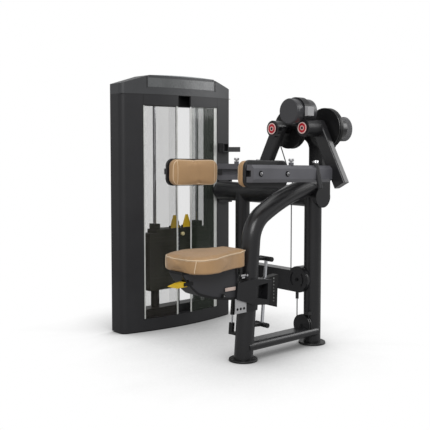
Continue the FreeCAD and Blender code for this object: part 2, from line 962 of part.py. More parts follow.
def resting_plates():
    """The plates that stay down when the selector pin is in the plate above them."""
    body = prism("resting_plates", "Z", plate_loops(s.plate_width, s.plate_depth, s.stem_radius + s.stem_clearance),
                 s.stack_bottom, s.stack_bottom + s.plate_thickness)
    body.AllowCompound = True
    pattern = body.newObject("PartDesign::LinearPattern", "plate_rows")
    pattern.Originals = [body.Tip]
    upright = [f for f in body.Origin.OriginFeatures if f.Role == "Z_Axis"][0]
    pattern.Direction = (upright, [""])
    bind(pattern, "Length", plate_pitch * (s.plate_count - 1))
    bind(pattern, "Occurrences", s.plate_count)
    body.Tip = pattern
    doc.recompute()
    return node(body, "resting_plates")


def lifted_plates():
    """The top plate with the pin through it, and the narrower head plate on it."""
    plate = prism("lifted_plate", "Z", plate_loops(s.plate_width, s.plate_depth, s.stem_radius),
                  lifted_bottom, lifted_top)
    pocket(plate, "Y", [ring(pin_x, pin_z, s.pin_radius + s.slip_gap)],
           plate_front - s.overrun, plate_front + s.pin_reach)
    head = prism("head_plate", "Z", plate_loops(s.head_plate_width, s.plate_depth, s.stem_radius),
                 lifted_top, head_plate_top)
    return node(group("lifted_plates", plate, head), "lifted_plates")


def selector_stem():
    """The stem that hangs through the stack from the head plate."""
    low = s.stack_bottom + s.plate_thickness / 2
    stem = turned("selector_stem", "Z", [
        corner(low, ZERO),
        corner(low, s.stem_radius - s.bush_flange),
        corner(low + s.bush_flange, s.stem_radius),
        corner(head_plate_top, s.stem_radius),
        corner(head_plate_top, s.stem_radius + s.bush_flange),
        corner(stem_top - s.stem_radius, s.stem_radius + s.bush_flange),
        corner(stem_top, s.stem_radius / 2),
        corner(stem_top, ZERO),
    ])
    return node(place(stem, x=tower_centre, y=stack_y), "selector_stem")


def selector_pin():
    """The pin with its round ball, seen in the slot between the shields."""
    ball_start = plate_front - s.pin_stand_off
    pin_end = plate_front + s.pin_reach - s.slip_gap
    shank = cylinder("pin_shank", "Y", s.pin_radius, ball_start, pin_end, x=pin_x, z=pin_z)
    ball = doc.addObject("Part::Sphere", "pin_ball")
    bind(ball, "Radius", s.pin_ball_radius)
    place(ball, x=pin_x, y=ball_start, z=pin_z)
    collar = cylinder("pin_collar", "Y", s.pin_radius + s.bush_flange, ball_start, plate_front - s.slip_gap,
                      x=pin_x, z=pin_z)
    return node(fuse("selector_pin", shank, ball, collar), "selector_pin")


def number_strip():
    """The dark strip beside the pin that carries the weight numbers."""
    left = tower_centre + s.strip_offset - s.strip_width / 2
    back = plate_front - s.slide_gap * 2
    return node(box("number_strip", (left, left + s.strip_width), (back - s.strip_thickness, back),
                    (s.base_height, lifted_bottom)), "number_strip")


def addon_pieces():
    """Small add-on weights on the head plate, and the two yellow levers that drop them."""
    weights = []
    for x in rod_places():
        outline = box("addon_weight", (x - s.addon_width / 2, x + s.addon_width / 2),
                      (stack_y - s.addon_depth / 2, stack_y + s.addon_depth / 2),
                      (head_plate_top, head_plate_top + s.addon_height))
        bore = cylinder("addon_bore", "Z", s.rod_radius + s.slide_gap, head_plate_top - s.overrun,
                        head_plate_top + s.addon_height + s.overrun, x=x, y=stack_y)
        weights.append(cut("addon", outline, bore))
    low = head_plate_top
    front = plate_front
    middle_y = front + s.lever_thickness / 2
    pivot_z = low + s.lever_lug_height / 2
    half = s.lever_foot_width / 2
    tip = s.lever_tip_width / 2
    pin_radius = s.lever_pin_radius / 2
    lugs = []
    for name, offset in (("left_addon_lever", s.lever_left_offset), ("right_addon_lever", s.lever_right_offset)):
        middle = tower_centre + offset
        outline = [
            corner(middle - half, low + s.lever_lift),
            corner(middle + half, low + s.lever_lift),
            corner(middle + tip, low + s.lever_height),
            corner(middle - tip, low + s.lever_height),
        ]
        lever = prism(name, "Y", [outline], front, front + s.lever_thickness)
        pocket(lever, "X", [ring(middle_y, pivot_z, pin_radius + s.running_gap)],
               middle - half - s.overrun, middle + half + s.overrun)
        node(lever, name)
        reach = half + s.slide_gap
        ear = s.lever_ear
        lugs.append(fuse("lever_lugs",
                         cylinder("lever_pin", "X", pin_radius, middle - reach, middle + reach, y=middle_y, z=pivot_z),
                         *[box("lever_ear", span, (front, front + s.lever_thickness), (low, low + s.lever_lug_height))
                           for span in ((middle - reach - ear, middle - reach), (middle + reach, middle + reach + ear))]))
    return node(group("addon_weights", *weights, *lugs), "addon_weights")


def pulley(run_radius, width, rim=None):
    """The half section of a grooved pulley. run_radius is where the cable's middle runs."""
    half = width / 2
    floor = run_radius - s.cable_radius
    outer = run_radius + s.cable_radius + s.slip_gap if rim is None else rim
    bed = s.cable_radius + s.slip_gap
    return [
        corner(-half, s.pulley_bore + s.running_gap),
        corner(half, s.pulley_bore + s.running_gap),
        corner(half, outer),
        corner(bed + s.slide_gap, outer),
        corner(bed, floor),
        corner(-bed, floor),
        corner(-bed - s.slide_gap, outer),
        corner(-half, outer),
    ]


def tower_head():
    """The crossmember at the top of the tower, its two pulleys, and the small pulley low in the tower."""
    bottom = crossmember_bottom
    half = s.crossmember_depth / 2
    beam = box("crossmember", (s.opening_left, opening_right), (stack_y - half, stack_y + half),
               (bottom, bottom + s.crossmember_height))
    tools = []
    for name, x in (("left_head_pulley", head_pulley_left_x), ("right_head_pulley", head_pulley_right_x)):
        wheel = turned(name, "Y", pulley(s.head_pulley_radius, s.pulley_width))
        node(place(wheel, x=x, y=stack_y, z=head_pulley_z), name)
        clear = s.head_pulley_radius + s.overrun
        width = s.pulley_width / 2 + s.slide_gap * 2
        tools.append(box("pulley_slot", (x - clear, x + clear), (stack_y - width, stack_y + width),
                         (bottom + s.crossmember_floor, bottom + s.crossmember_height + s.overrun)))
    for x in (tower_centre, cable_fall_x):
        tools.append(cylinder("cable_way", "Z", s.cable_room, bottom - s.overrun,
                              bottom + s.crossmember_floor + s.overrun, x=x, y=stack_y))
    node(cut("head_crossmember", beam, *tools), "head_crossmember")
    wheel = turned("tower_pulley", "X", pulley(s.tower_pulley_radius, s.tower_pulley_width))
    return node(place(wheel, x=cable_fall_x, y=tower_pulley_y, z=tower_pulley_z), "tower_pulley")


def wire_of(*edges):
    return Part.Wire([edge.toShape() for edge in edges])


def sweep_round(wire, radius):
    """A round cord along a wire of straight runs and tangent arcs."""
    start = wire.Edges[0]
    first = start.valueAt(start.FirstParameter)
    direction = start.tangentAt(start.FirstParameter)
    section = Part.Wire([Part.Circle(first, direction, float(radius)).toShape()])
    return wire.makePipeShell([section], True, False)


def point(x, y, z):
    return Vector(float(x), float(y), float(z))


def stack_cable():
    """The run of cable that grows shorter as the stem rises to the head pulley."""
    return node(cylinder("stack_cable", "Z", s.cable_radius, stem_top, head_pulley_z,
                         x=tower_centre, y=stack_y), "stack_cable")


def post_path():
    """The front post's axis: straight, a tight bend, a long gentle bend and a straight end."""
    start = Vector()
    up = math.radians(90) - math.radians(float(s.post_lean))
    bend_exit = math.radians(float(s.post_bend_exit))
    top_exit = math.radians(float(s.post_top_exit))
    straight = float(post_straight) / math.sin(up)
    first = Vector(straight * math.cos(up), 0, straight * math.sin(up))

    def along(begin, radius, angle_in, angle_out):
        centre = begin + Vector(math.sin(angle_in), 0, -math.cos(angle_in)) * radius
        middle = (angle_in + angle_out) / 2
        return (centre - Vector(math.sin(middle), 0, -math.cos(middle)) * radius,
                centre - Vector(math.sin(angle_out), 0, -math.cos(angle_out)) * radius)
    tight_middle, second = along(first, float(s.post_bend_radius), up, bend_exit)
    gentle_middle, third = along(second, float(s.post_top_radius), bend_exit, top_exit)
    last = third + Vector(math.cos(top_exit), 0, math.sin(top_exit)) * float(s.post_end_length)
    return wire_of(
        Part.LineSegment(start, first),
        Part.Arc(first, tight_middle, second),
        Part.Arc(second, gentle_middle, third),
        Part.LineSegment(third, last),
    )


def front_post():
    """A bent tube that leans away from the user, then sweeps forward into the main beam."""
    path = post_path()
    outer = sweep_round(path, s.front_post_diameter / 2)
    inner = sweep_round(path, s.front_post_diameter / 2 - s.tube_wall)
    tube = made("post_tube", outer.cut(inner))
    beam = cylinder("post_cope", "Y", main_beam_radius, -s.main_beam_end, s.main_beam_end,
                    x=s.main_beam_x, z=s.main_beam_height)
    stem = box("post_trim", (s.yoke_front, s.yoke_front + s.foot_radius * 2),
               (-s.foot_radius, s.foot_radius), (s.main_beam_height, s.pivot_height))
    ground = box("post_ground", (-s.foot_radius, s.foot_radius), (-s.foot_radius, s.foot_radius),
                 (-s.foot_radius, s.foot_height))
    return node(cut("front_post", tube, beam, stem, ground), "front_post")


def straight_tube(name, axis, diameter, start, end, wall=None, **at):
    """A round tube with its wall, from start to end along an axis."""
    thickness = s.tube_wall if wall is None else wall
    outer = cylinder(f"{name}_outer", axis, diameter / 2, start, end, **at)
    inner = cylinder(f"{name}_bore", axis, diameter / 2 - thickness, start, end, **at)
    return cut(f"{name}_tube", outer, inner)


def posts():
    """The upright outer post with the loop cable's anchor, and the hanging inner post."""
    beam_low = s.main_beam_height
    outer = straight_tube("outer", "Z", s.outer_post_diameter, s.foot_height, beam_low, x=s.outer_post_x)
    cope = cylinder("outer_cope", "Y", main_beam_radius, -s.main_beam_end, s.foot_radius,
                    x=s.main_beam_x, z=s.main_beam_height)
    anchor_y = s.base_pulley_y - s.base_pulley_radius
    anchor = box("cable_anchor", (s.base_pulley_x - s.overrun, s.base_pulley_x + s.anchor_depth),
                 (anchor_y - s.overrun, anchor_y + s.anchor_half_width * 2 - s.overrun),
                 (s.anchor_top - s.anchor_height, s.anchor_top))
    inside = cylinder("anchor_room", "Z", s.outer_post_diameter / 2 - s.tube_wall, s.foot_height,
                      s.main_beam_height, x=s.outer_post_x)
    node(fuse("outer_post", cut("outer_coped", outer, cope), cut("anchor_trimmed", anchor, inside)), "outer_post")
    low = s.lower_beam_center - s.lower_beam_height / 2
    inner = straight_tube("inner", "Z", s.inner_post_diameter, low, beam_low, x=s.outer_post_x, y=s.inner_post_y)
    reach = s.inner_post_diameter
    inner_cope = cylinder("inner_cope", "Y", main_beam_radius, s.inner_post_y - reach, s.inner_post_y + reach,
                          x=s.main_beam_x, z=s.main_beam_height)
    cap = cylinder("inner_end_cap", "Z", s.inner_post_diameter / 2, low, low + s.tube_wall,
                   x=s.outer_post_x, y=s.inner_post_y)
    cable_way = cylinder("inner_cable_way", "Y", s.post_cable_room, s.inner_post_y - reach, s.inner_post_y + reach,
                         x=cable_fall_x, z=cable_run_z)
    return node(cut("inner_post", fuse("inner_capped", inner, cap), inner_cope, cable_way), "inner_post")


def fitted_flange(name, left, width, middle_z, height):
    """A block that carries a beam on the tower's bowed front, cut to that bow behind."""
    right = left + width
    low, high = middle_z - height / 2, middle_z + height / 2
    front = front_bow(s.flange_left) - s.flange_thickness
    block = box(f"{name}_block", (left, right), (front, front_bow(right) + s.overrun), (low, high))
    fit = prism(f"{name}_fit", "Z", [plan_outline(s.tower_left, tower_right, s.tower_back)],
                low - s.overrun, high + s.overrun)
    return cut(name, block, fit)


def main_beam():
    """The round beam from the tower to past the outer post, with its end discs and wall flange."""
    front = front_bow(s.flange_left) - s.flange_thickness
    tube = straight_tube("beam", "Y", s.main_beam_diameter, -s.main_beam_end, front,
                         x=s.main_beam_x, z=s.main_beam_height)
    near_cap = cylinder("beam_near_cap", "Y", main_beam_radius, -(s.main_beam_end + s.beam_cap),
                        -s.main_beam_end, x=s.main_beam_x, z=s.main_beam_height)
    far_cap = cylinder("beam_far_cap", "Y", main_beam_radius, front - s.beam_cap, front,
                       x=s.main_beam_x, z=s.main_beam_height)
    fitted = fitted_flange("beam_flange", s.flange_left, s.flange_width, s.main_beam_height, s.flange_height)
    lug_x = s.far_cam_x + s.cam_thickness / 2
    lug = box("far_cable_lug", (lug_x - s.cable_lug / 2, s.main_beam_x),
              (s.far_cable_y - s.cable_lug, s.far_cable_y + s.cable_lug),
              (far_cable_z - s.cable_lug_height, far_cable_z))
    inside = cylinder("beam_lug_trim", "Y", main_beam_radius - s.tube_wall, s.far_cable_y - s.cable_lug,
                      s.far_cable_y + s.cable_lug, x=s.main_beam_x, z=s.main_beam_height)
    whole = fuse("main_beam_whole", tube, near_cap, far_cap, fitted, cut("far_cable_lug_trimmed", lug, inside))
    hole = cylinder("riser_hole", "Z", s.cable_room, s.main_beam_height - main_beam_radius, s.main_beam_height,
                    x=cable_fall_x, y=s.riser_y)
    return node(cut("main_beam", whole, hole), "main_beam")


def lower_beam():
    """The deep flat beam low on the frame, with a round drum at its near end and a flange on the tower."""
    low = s.lower_beam_center - s.lower_beam_height / 2
    high = s.lower_beam_center + s.lower_beam_height / 2
    left, right = s.lower_beam_front, lower_beam_right
    wall = s.tube_wall
    front = front_bow(s.flange_left) - s.flange_thickness
    outer = [corner(left, low), corner(right, low), corner(right, high), corner(left, high)]
    inner = [corner(left + wall, low + wall), corner(right - wall, low + wall),
             corner(right - wall, high - wall), corner(left + wall, high - wall)]
    beam = prism("lower_beam_tube", "Y", [outer, inner], s.lower_beam_start, front)
    drum_out = cylinder("drum_outer", "X", s.low_cover_radius, left, right, y=s.drum_y, z=s.drum_z)
    drum_in = cylinder("drum_inner", "X", s.low_cover_radius - s.drum_wall, left + s.drum_wall,
                       right - s.drum_wall, y=s.drum_y, z=s.drum_z)
    flange = fitted_flange("lower_flange", left, s.lower_flange_width, s.lower_beam_center, s.lower_beam_height)
    sleeve = cylinder("cable_sleeve", "Z", s.sleeve_radius, low - s.sleeve_length, low,
                      x=s.base_pulley_x, y=s.base_pulley_y + s.base_pulley_radius)
    sleeve_bore = cylinder("cable_sleeve_bore", "Z", s.cable_radius + s.slip_gap, low - s.sleeve_length, low,
                           x=s.base_pulley_x, y=s.base_pulley_y + s.base_pulley_radius)
    whole = fuse("lower_beam_whole", beam, cut("drum", drum_out, drum_in), flange,
                 cut("cable_sleeve_tube", sleeve, sleeve_bore))
    laps = [
        cylinder("inner_lap", "Z", s.inner_post_diameter / 2, low - s.overrun, high + s.overrun,
                 x=s.outer_post_x, y=s.inner_post_y),
        cylinder("outer_lap", "Z", s.outer_post_diameter / 2, low - s.low_cover_radius,
                 high + s.low_cover_radius, x=s.outer_post_x),
        cylinder("riser_way", "Z", s.cable_room, high - s.overrun, high + s.overrun, x=cable_fall_x, y=s.riser_y),
        cylinder("run_way", "Y", s.cable_room, front - s.overrun, plate_front, x=cable_fall_x, z=cable_run_z),
    ]
    return node(cut("lower_beam", whole, *laps), "lower_beam")


def arc_slot_loop(radius, width, start, sweep):
    """A curved slot about the origin as corners, its long edges bowed, in degrees."""
    outer = radius + width / 2
    inner = radius - width / 2
    begin, end = as_size(start), as_size(start) + sweep
    return [
        corner(outer * cosine(begin), outer * sine(begin), bow=outer),
        corner(outer * cosine(end), outer * sine(end)),
        corner(inner * cosine(end), inner * sine(end), bow=inner, inward=True),
        corner(inner * cosine(begin), inner * sine(begin)),
    ]


def lower_beam_cover():
    """The round cover on the drum, with two curved slots that have round ends."""
    right = s.lower_beam_front
    left = right - s.low_cover_thickness
    half_sweep = s.cover_slot_sweep / 2
    radius = s.cover_slot_radius
    body = prism("lower_beam_cover", "X", [ring(ZERO, ZERO, s.low_cover_radius - s.low_cover_thickness / 2)],
                 left, right)
    for middle in (as_size(0), s.full_turn / 2):
        pocket(body, "X", [arc_slot_loop(radius, s.cover_slot_width, middle - half_sweep, s.cover_slot_sweep)],
               left, right)
        ends = [ring(radius * cosine(angle), radius * sine(angle), s.cover_slot_width / 2)
                for angle in (middle - half_sweep, middle + half_sweep)]
        pocket(body, "X", ends, left, right)
    return node(place(body, y=s.drum_y, z=s.drum_z), "lower_beam_cover")


def bottom_rail():
    """The flat oval rail between the two posts, with a pocket for the base pulley."""
    low = s.rail_bottom
    high = low + s.rail_height
    half = s.rail_width / 2
    bow = s.rail_height / 2
    middle = low + bow
    wall = s.tube_wall

    def oval(inset):
        side = half - bow
        radius = bow - inset
        return [
            corner(-side, low + inset),
            corner(side, low + inset, bow=radius),
            corner(side + radius, middle, bow=radius),
            corner(side, high - inset),
            corner(-side, high - inset, bow=radius),
            corner(-side - radius, middle, bow=radius),
        ]
    tube = prism("rail_tube", "X", [oval(ZERO), oval(wall)], ZERO, s.outer_post_x)
    pulley_left = s.base_pulley_x - s.base_pulley_width / 2 - s.base_pulley_pocket
    pulley_right = s.base_pulley_x + s.base_pulley_width / 2 + s.base_pulley_pocket
    reach = s.base_pulley_rim + s.base_pulley_pocket
    room = box("base_pulley_room", (pulley_left, pulley_right),
               (s.base_pulley_y - reach, s.base_pulley_y + reach),
               (s.base_pulley_z - reach, s.base_pulley_z + reach))
    front = cylinder("rail_front_cope", "Z", s.front_post_diameter / 2, -s.overrun, high + s.overrun)
    place_lean(front)
    back = cylinder("rail_back_cope", "Z", s.outer_post_diameter / 2, -s.overrun, high + s.overrun,
                    x=s.outer_post_x)
    return node(cut("bottom_rail", tube, room, front, back), "bottom_rail")


def place_lean(thing, x=ZERO, z=ZERO):
    """Put an object that is drawn upright into the front post's leaning frame."""
    return place(thing, x=x, z=z, axis=Vector(0, 1, 0), angle=s.post_lean)


def low_pulleys():
    """The pulley hidden in the lower beam, and the deep one in the rail's slot."""
    wheel = turned("lower_pulley", "X", pulley(s.low_pulley_radius, s.pulley_width))
    node(place(wheel, x=cable_fall_x, y=s.low_pulley_y, z=s.lower_beam_center), "lower_pulley")
    base = turned("base_pulley", "X", pulley(s.base_pulley_radius, s.base_pulley_width, s.base_pulley_rim))
    node(place(base, x=s.base_pulley_x, y=s.base_pulley_y, z=s.base_pulley_z), "base_pulley")


def axles_and_bolts():
    """Pulley pins and the bolt heads that show on the frame."""
    pieces = []
    room = s.pulley_width / 2 + s.slide_gap * 2
    for x in (head_pulley_left_x, head_pulley_right_x):
        pieces.append(cylinder("head_axle", "Y", s.pulley_bore, stack_y - room, stack_y + room,
                               x=x, z=head_pulley_z))
    half = s.tower_pulley_width / 2 + s.slide_gap * 2
    pieces.append(cylinder("tower_axle", "X", s.pulley_bore, cable_fall_x - half, cable_fall_x + half,
                           y=tower_pulley_y, z=tower_pulley_z))
    pieces.append(cylinder("low_axle", "X", s.pulley_bore, s.lower_beam_front + s.tube_wall,
                           lower_beam_right - s.tube_wall, y=s.low_pulley_y, z=s.lower_beam_center))
    reach = s.base_pulley_width / 2 + s.base_pulley_pocket
    pieces.append(cylinder("base_axle", "X", s.pulley_bore, s.base_pulley_x - reach, s.base_pulley_x + reach,
                           y=s.base_pulley_y, z=s.base_pulley_z))
    front = front_bow(s.flange_left) - s.flange_thickness
    inset = s.flange_bolt_inset
    reach_z = s.flange_height / 2 - inset
    right_x = s.flange_left + s.flange_width - inset
    places = [(right_x, s.main_beam_height - reach_z), (right_x, s.main_beam_height + reach_z)]
    low_reach = s.lower_beam_height / 2 - inset
    low_x = s.lower_beam_front + s.lower_flange_width - inset
    places += [(low_x, s.lower_beam_center - low_reach), (low_x, s.lower_beam_center + low_reach)]
    for x, z in places:
        pieces.append(cylinder("flange_bolt", "Y", s.bolt_head_radius, front - s.bolt_head_height, front, x=x, z=z))
    cover_x = s.lower_beam_front - s.low_cover_thickness
    pieces.append(cylinder("cover_bolt", "X", s.bolt_head_radius, cover_x - s.bolt_head_height, cover_x,
                           y=s.drum_y, z=s.drum_z))
    return node(group("axles_and_bolts", *pieces), "axles_and_bolts")


def quarter(centre, radius, start, end):
    """A quarter arc about a centre between two unit directions."""
    middle = (start + end).normalize()
    return Part.Arc(centre + start * radius, centre + middle * radius, centre + end * radius)


def main_cable():
    """From the head pulleys down the tower, along inside the lower beam and up to the main beam."""
    across, back, up = Vector(1, 0, 0), Vector(0, 1, 0), Vector(0, 0, 1)
    head = float(s.head_pulley_radius)
    left = point(head_pulley_left_x, stack_y, head_pulley_z)
    right = point(head_pulley_right_x, stack_y, head_pulley_z)
    tower = point(cable_fall_x, tower_pulley_y, tower_pulley_z)
    lower = point(cable_fall_x, s.low_pulley_y, s.lower_beam_center)
    small, low = float(s.tower_pulley_radius), float(s.low_pulley_radius)
    return wire_of(
        quarter(left, head, -across, up),
        Part.LineSegment(left + up * head, right + up * head),
        quarter(right, head, up, across),
        Part.LineSegment(right + across * head, tower + back * small),
        quarter(tower, small, back, -up),
        Part.LineSegment(tower - up * small, lower - up * low),
        quarter(lower, low, -up, -back),
        Part.LineSegment(lower - back * low, point(cable_fall_x, s.riser_y, s.main_beam_height - s.riser_drop)),
    )


def loop_cable():
    """From the sleeve under the drum, round the base pulley and up to its anchor."""
    back, up = Vector(0, 1, 0), Vector(0, 0, 1)
    radius = float(s.base_pulley_radius)
    centre = point(s.base_pulley_x, s.base_pulley_y, s.base_pulley_z)
    top = s.lower_beam_center - s.lower_beam_height / 2
    down_y = s.base_pulley_y + s.base_pulley_radius
    up_y = s.base_pulley_y - s.base_pulley_radius
    return wire_of(
        Part.LineSegment(point(s.base_pulley_x, down_y, top), centre + back * radius),
        quarter(centre, radius, back, -up),
        quarter(centre, radius, -up, -back),
        Part.LineSegment(centre - back * radius, point(s.base_pulley_x, up_y, s.anchor_top - s.anchor_height)),
    )


def cam_cable(side, x, end_y, end_z):
    """From a cam's groove down to the frame, with the turn that lies on the cam."""
    radius = float(s.cam_radius + s.cable_radius)
    centre_y, centre_z = float(s.pivot_half_spacing), float(s.pivot_height)
    reach_y, reach_z = centre_y - float(end_y), centre_z - float(end_z)
    distance = math.hypot(reach_y, reach_z)
    slope = math.atan2(reach_z, reach_y) - math.asin(radius / distance)
    turn_start = slope - math.radians(90)
    turn_end = turn_start + math.radians(float(s.cam_wrap))

    def on_cam(angle):
        return Vector(float(x), side * (centre_y + radius * math.cos(angle)), centre_z + radius * math.sin(angle))
    leave = on_cam(turn_start)
    return wire_of(
        Part.LineSegment(Vector(float(x), side * float(end_y), float(end_z)), leave),
        Part.Arc(leave, on_cam((turn_start + turn_end) / 2), on_cam(turn_end)),
    )


def frame_cables():
    """Every cable run that keeps its line: main, loop and both cam cables."""
    near_x = s.near_cam_x + s.cam_thickness / 2
    far_x = s.far_cam_x + s.cam_thickness / 2
    wires = (
        ("main_cable", main_cable()),
        ("loop_cable", loop_cable()),
        ("near_cam_cable", cam_cable(NEAR, near_x, s.near_cable_y, s.main_beam_height + s.near_cable_rise)),
        ("far_cam_cable", cam_cable(FAR, far_x, s.far_cable_y, far_cable_z)),
    )
    solids = [made(name, sweep_round(wire, s.cable_radius)) for name, wire in wires]
    return node(group("frame_cables", *solids), "frame_cables")


def pivot_yoke():
    """The T-shaped head on the main beam that carries both arm shafts."""
    stem = s.yoke_stem_width / 2
    reach = s.pivot_half_spacing
    end = s.yoke_arm_height / 2
    low = s.pivot_height - end
    high = s.pivot_height + end
    outline = [
        corner(-stem, s.main_beam_height),
        corner(stem, s.main_beam_height),
        corner(stem, low, rounding=s.yoke_fillet),
        corner(reach, low, bow=end),
        corner(reach + end, s.pivot_height, bow=end),
        corner(reach, high),
        corner(-reach, high, bow=end),
        corner(-reach - end, s.pivot_height, bow=end),
        corner(-reach, low),
        corner(-stem, low, rounding=s.yoke_fillet),
    ]
    bores = [ring(side * reach, s.pivot_height, bush_radius) for side in (NEAR, FAR)]
    body = prism("yoke_body", "X", [outline] + bores, s.yoke_front, yoke_back)
    cope = cylinder("yoke_cope", "Y", main_beam_radius, -s.foot_radius, s.foot_radius,
                    x=s.main_beam_x, z=s.main_beam_height)
    node(cut("pivot_yoke", body, cope), "pivot_yoke")
    bushes = []
    for side in (NEAR, FAR):
        for start, step in ((s.yoke_front, 1), (yoke_back, -1)):
            inner = s.shaft_radius + s.running_gap
            bush = turned("bush", "X", [
                corner(-s.bush_flange * step, inner),
                corner(s.bush_length * step, inner),
                corner(s.bush_length * step, bush_radius),
                corner(ZERO, bush_radius),
                corner(ZERO, inner + s.bush_flange_wall),
                corner(-s.bush_flange * step, inner + s.bush_flange_wall),
            ])
            bushes.append(place(bush, x=start, y=side * reach, z=s.pivot_height))
    node(group("pivot_bushes", *bushes), "pivot_bushes")


def arm_shaft(name, side, cam_x, front, back):
    """A shaft with its cable cam, turning in the yoke."""
    cam_end = cam_x + s.cam_thickness
    rim = s.cam_radius + s.cam_groove
    groove = s.cam_groove
    shaft = s.shaft_radius
    body = turned(name, "X", [
        corner(front, ZERO),
        corner(back, ZERO),
        corner(back, shaft),
        corner(cam_end, shaft),
        corner(cam_end, rim),
        corner(cam_end - groove, rim),
        corner(cam_end - groove * 2, s.cam_radius),
        corner(cam_x + groove * 2, s.cam_radius),
        corner(cam_x + groove, rim),
        corner(cam_x, rim),
        corner(cam_x, shaft),
        corner(front, shaft),
    ])
    return node(place(body, y=side * s.pivot_half_spacing, z=s.pivot_height), name)


def arm_tube(name, side, arm_x):
    """The splayed arm: a flat tube with a round head about the shaft and a square lower end."""
    half = s.arm_width / 2
    head = s.hub_radius
    shoulder = root(head * head - half * half)
    outline = [
        corner(-half, -s.arm_length),
        corner(half, -s.arm_length),
        corner(half, shoulder, bow=head),
        corner(ZERO, head, bow=head),
        corner(-half, shoulder),
    ]
    body = prism(name, "X", [outline, ring(ZERO, ZERO, s.shaft_radius)], arm_x, arm_x + s.arm_depth)
    soften(body, s.arm_round, straight_along("Z"))
    place(body, y=side * s.pivot_half_spacing, z=s.pivot_height, axis=Vector(1, 0, 0), angle=side * s.arm_splay_angle)
    return node(body, name)


def near_hub():
    """The near hub: a barrel on the shaft, with a ring clamp round the counterweight above it."""
    y, z = -s.pivot_half_spacing, s.pivot_height
    barrel = cylinder("near_barrel", "X", s.hub_radius, s.hub_front + s.hub_cap_depth, s.near_arm_x, y=y, z=z)
    cap = cylinder("near_cap", "X", s.hub_cap_radius, s.hub_front, s.hub_front + s.hub_cap_depth, y=y, z=z)
    clamp_x = s.near_weight_x + s.clamp_setback
    clamp_end = clamp_x + s.clamp_width
    ring_body = cylinder("near_ring", "X", s.weight_radius + s.clamp_wall, clamp_x, clamp_end,
                         y=s.near_weight_y, z=s.near_weight_z)
    half = s.hub_radius - s.clamp_wall
    aside = s.near_weight_y + s.pivot_half_spacing
    rise = s.near_weight_z - s.pivot_height
    web = prism("near_web", "X", [[
        corner(-half, ZERO),
        corner(half, ZERO),
        corner(aside + half, rise),
        corner(aside - half, rise),
    ]], clamp_x, clamp_end)
    place(web, y=y, z=z)
    lug_y = s.near_weight_y - s.weight_radius
    bolt_pad = box("near_clamp_lug", (clamp_x, clamp_end), (lug_y - s.clamp_wall * 3, lug_y + s.clamp_wall),
                   (s.near_weight_z - s.clamp_width / 2, s.near_weight_z + s.clamp_width / 2))
    bore = cylinder("near_weight_bore", "X", s.weight_radius, s.near_weight_x, s.near_weight_x + s.weight_length,
                    y=s.near_weight_y, z=s.near_weight_z)
    shaft_bore = cylinder("near_shaft_bore", "X", s.shaft_radius, s.hub_front + s.hub_cap_depth * 3,
                          s.near_arm_x + s.overrun, y=y, z=z)
    whole = fuse("near_hub_whole", barrel, cap, ring_body, web, bolt_pad)
    return node(cut("near_hub", whole, bore, shaft_bore), "near_hub")


def far_hub():
    """The far hub: a short barrel with its cap in front of the far arm."""
    y, z = s.pivot_half_spacing, s.pivot_height
    front = s.far_hub_front
    barrel = cylinder("far_barrel", "X", s.hub_radius, front + s.hub_cap_depth, s.far_arm_x, y=y, z=z)
    cap = cylinder("far_cap", "X", s.hub_cap_radius, front, front + s.hub_cap_depth, y=y, z=z)
    shaft_bore = cylinder("far_shaft_bore", "X", s.shaft_radius, front + s.hub_cap_depth * 3,
                          s.far_arm_x + s.overrun, y=y, z=z)
    return node(cut("far_hub", fuse("far_hub_whole", barrel, cap), shaft_bore), "far_hub")


def weight_profile(start, end):
    return [
        corner(start, ZERO),
        corner(end, ZERO),
        corner(end, s.weight_radius, rounding=s.weight_round),
        corner(start, s.weight_radius, rounding=s.weight_round),
    ]


def counterweights():
    """Two round counterweights: one over the near hub, one clamped on the back of the far shaft."""
    near = turned("near_counterweight", "X", weight_profile(ZERO, s.weight_length))
    node(place(near, x=s.near_weight_x, y=s.near_weight_y, z=s.near_weight_z), "near_counterweight")
    far = turned("far_weight", "Y", weight_profile(ZERO, s.weight_length))
    place(far, x=s.far_weight_x, y=s.far_weight_near_end, z=s.pivot_height)
    far_end = s.far_weight_near_end + s.weight_length
    half = s.far_clamp_depth / 2
    tall = s.far_clamp_height / 2
    outline = [
        corner(s.far_weight_x - half, s.pivot_height - tall, rounding=s.clamp_wall),
        corner(s.far_weight_x + half, s.pivot_height - tall, rounding=s.clamp_wall),
        corner(s.far_weight_x + half, s.pivot_height + tall, rounding=s.clamp_wall),
        corner(s.far_weight_x - half, s.pivot_height + tall, rounding=s.clamp_wall),
    ]
    block = prism("far_clamp_block", "Y", [outline], far_end, s.pivot_half_spacing + s.far_clamp_back)
    bore = cylinder("far_clamp_bore", "X", s.shaft_radius, s.far_weight_x - s.far_clamp_depth,
                    s.far_weight_x + s.far_clamp_depth, y=s.pivot_half_spacing, z=s.pivot_height)
    return node(group("far_counterweight", far, cut("far_weight_clamp", block, bore)), "far_counterweight")


def on_bar(thing, side, along=ZERO, lift=ZERO):
    """Put an object drawn in a bar's own frame on its bar, which slopes down to the arm."""
    x = s.bar_start_x + along * cosine(s.bar_slope) + lift * sine(s.bar_slope)
    z = s.bar_start_z - along * sine(s.bar_slope) + lift * cosine(s.bar_slope)
    return place(thing, x=x, z=z, axis=Vector(0, 1, 0), angle=s.bar_slope)


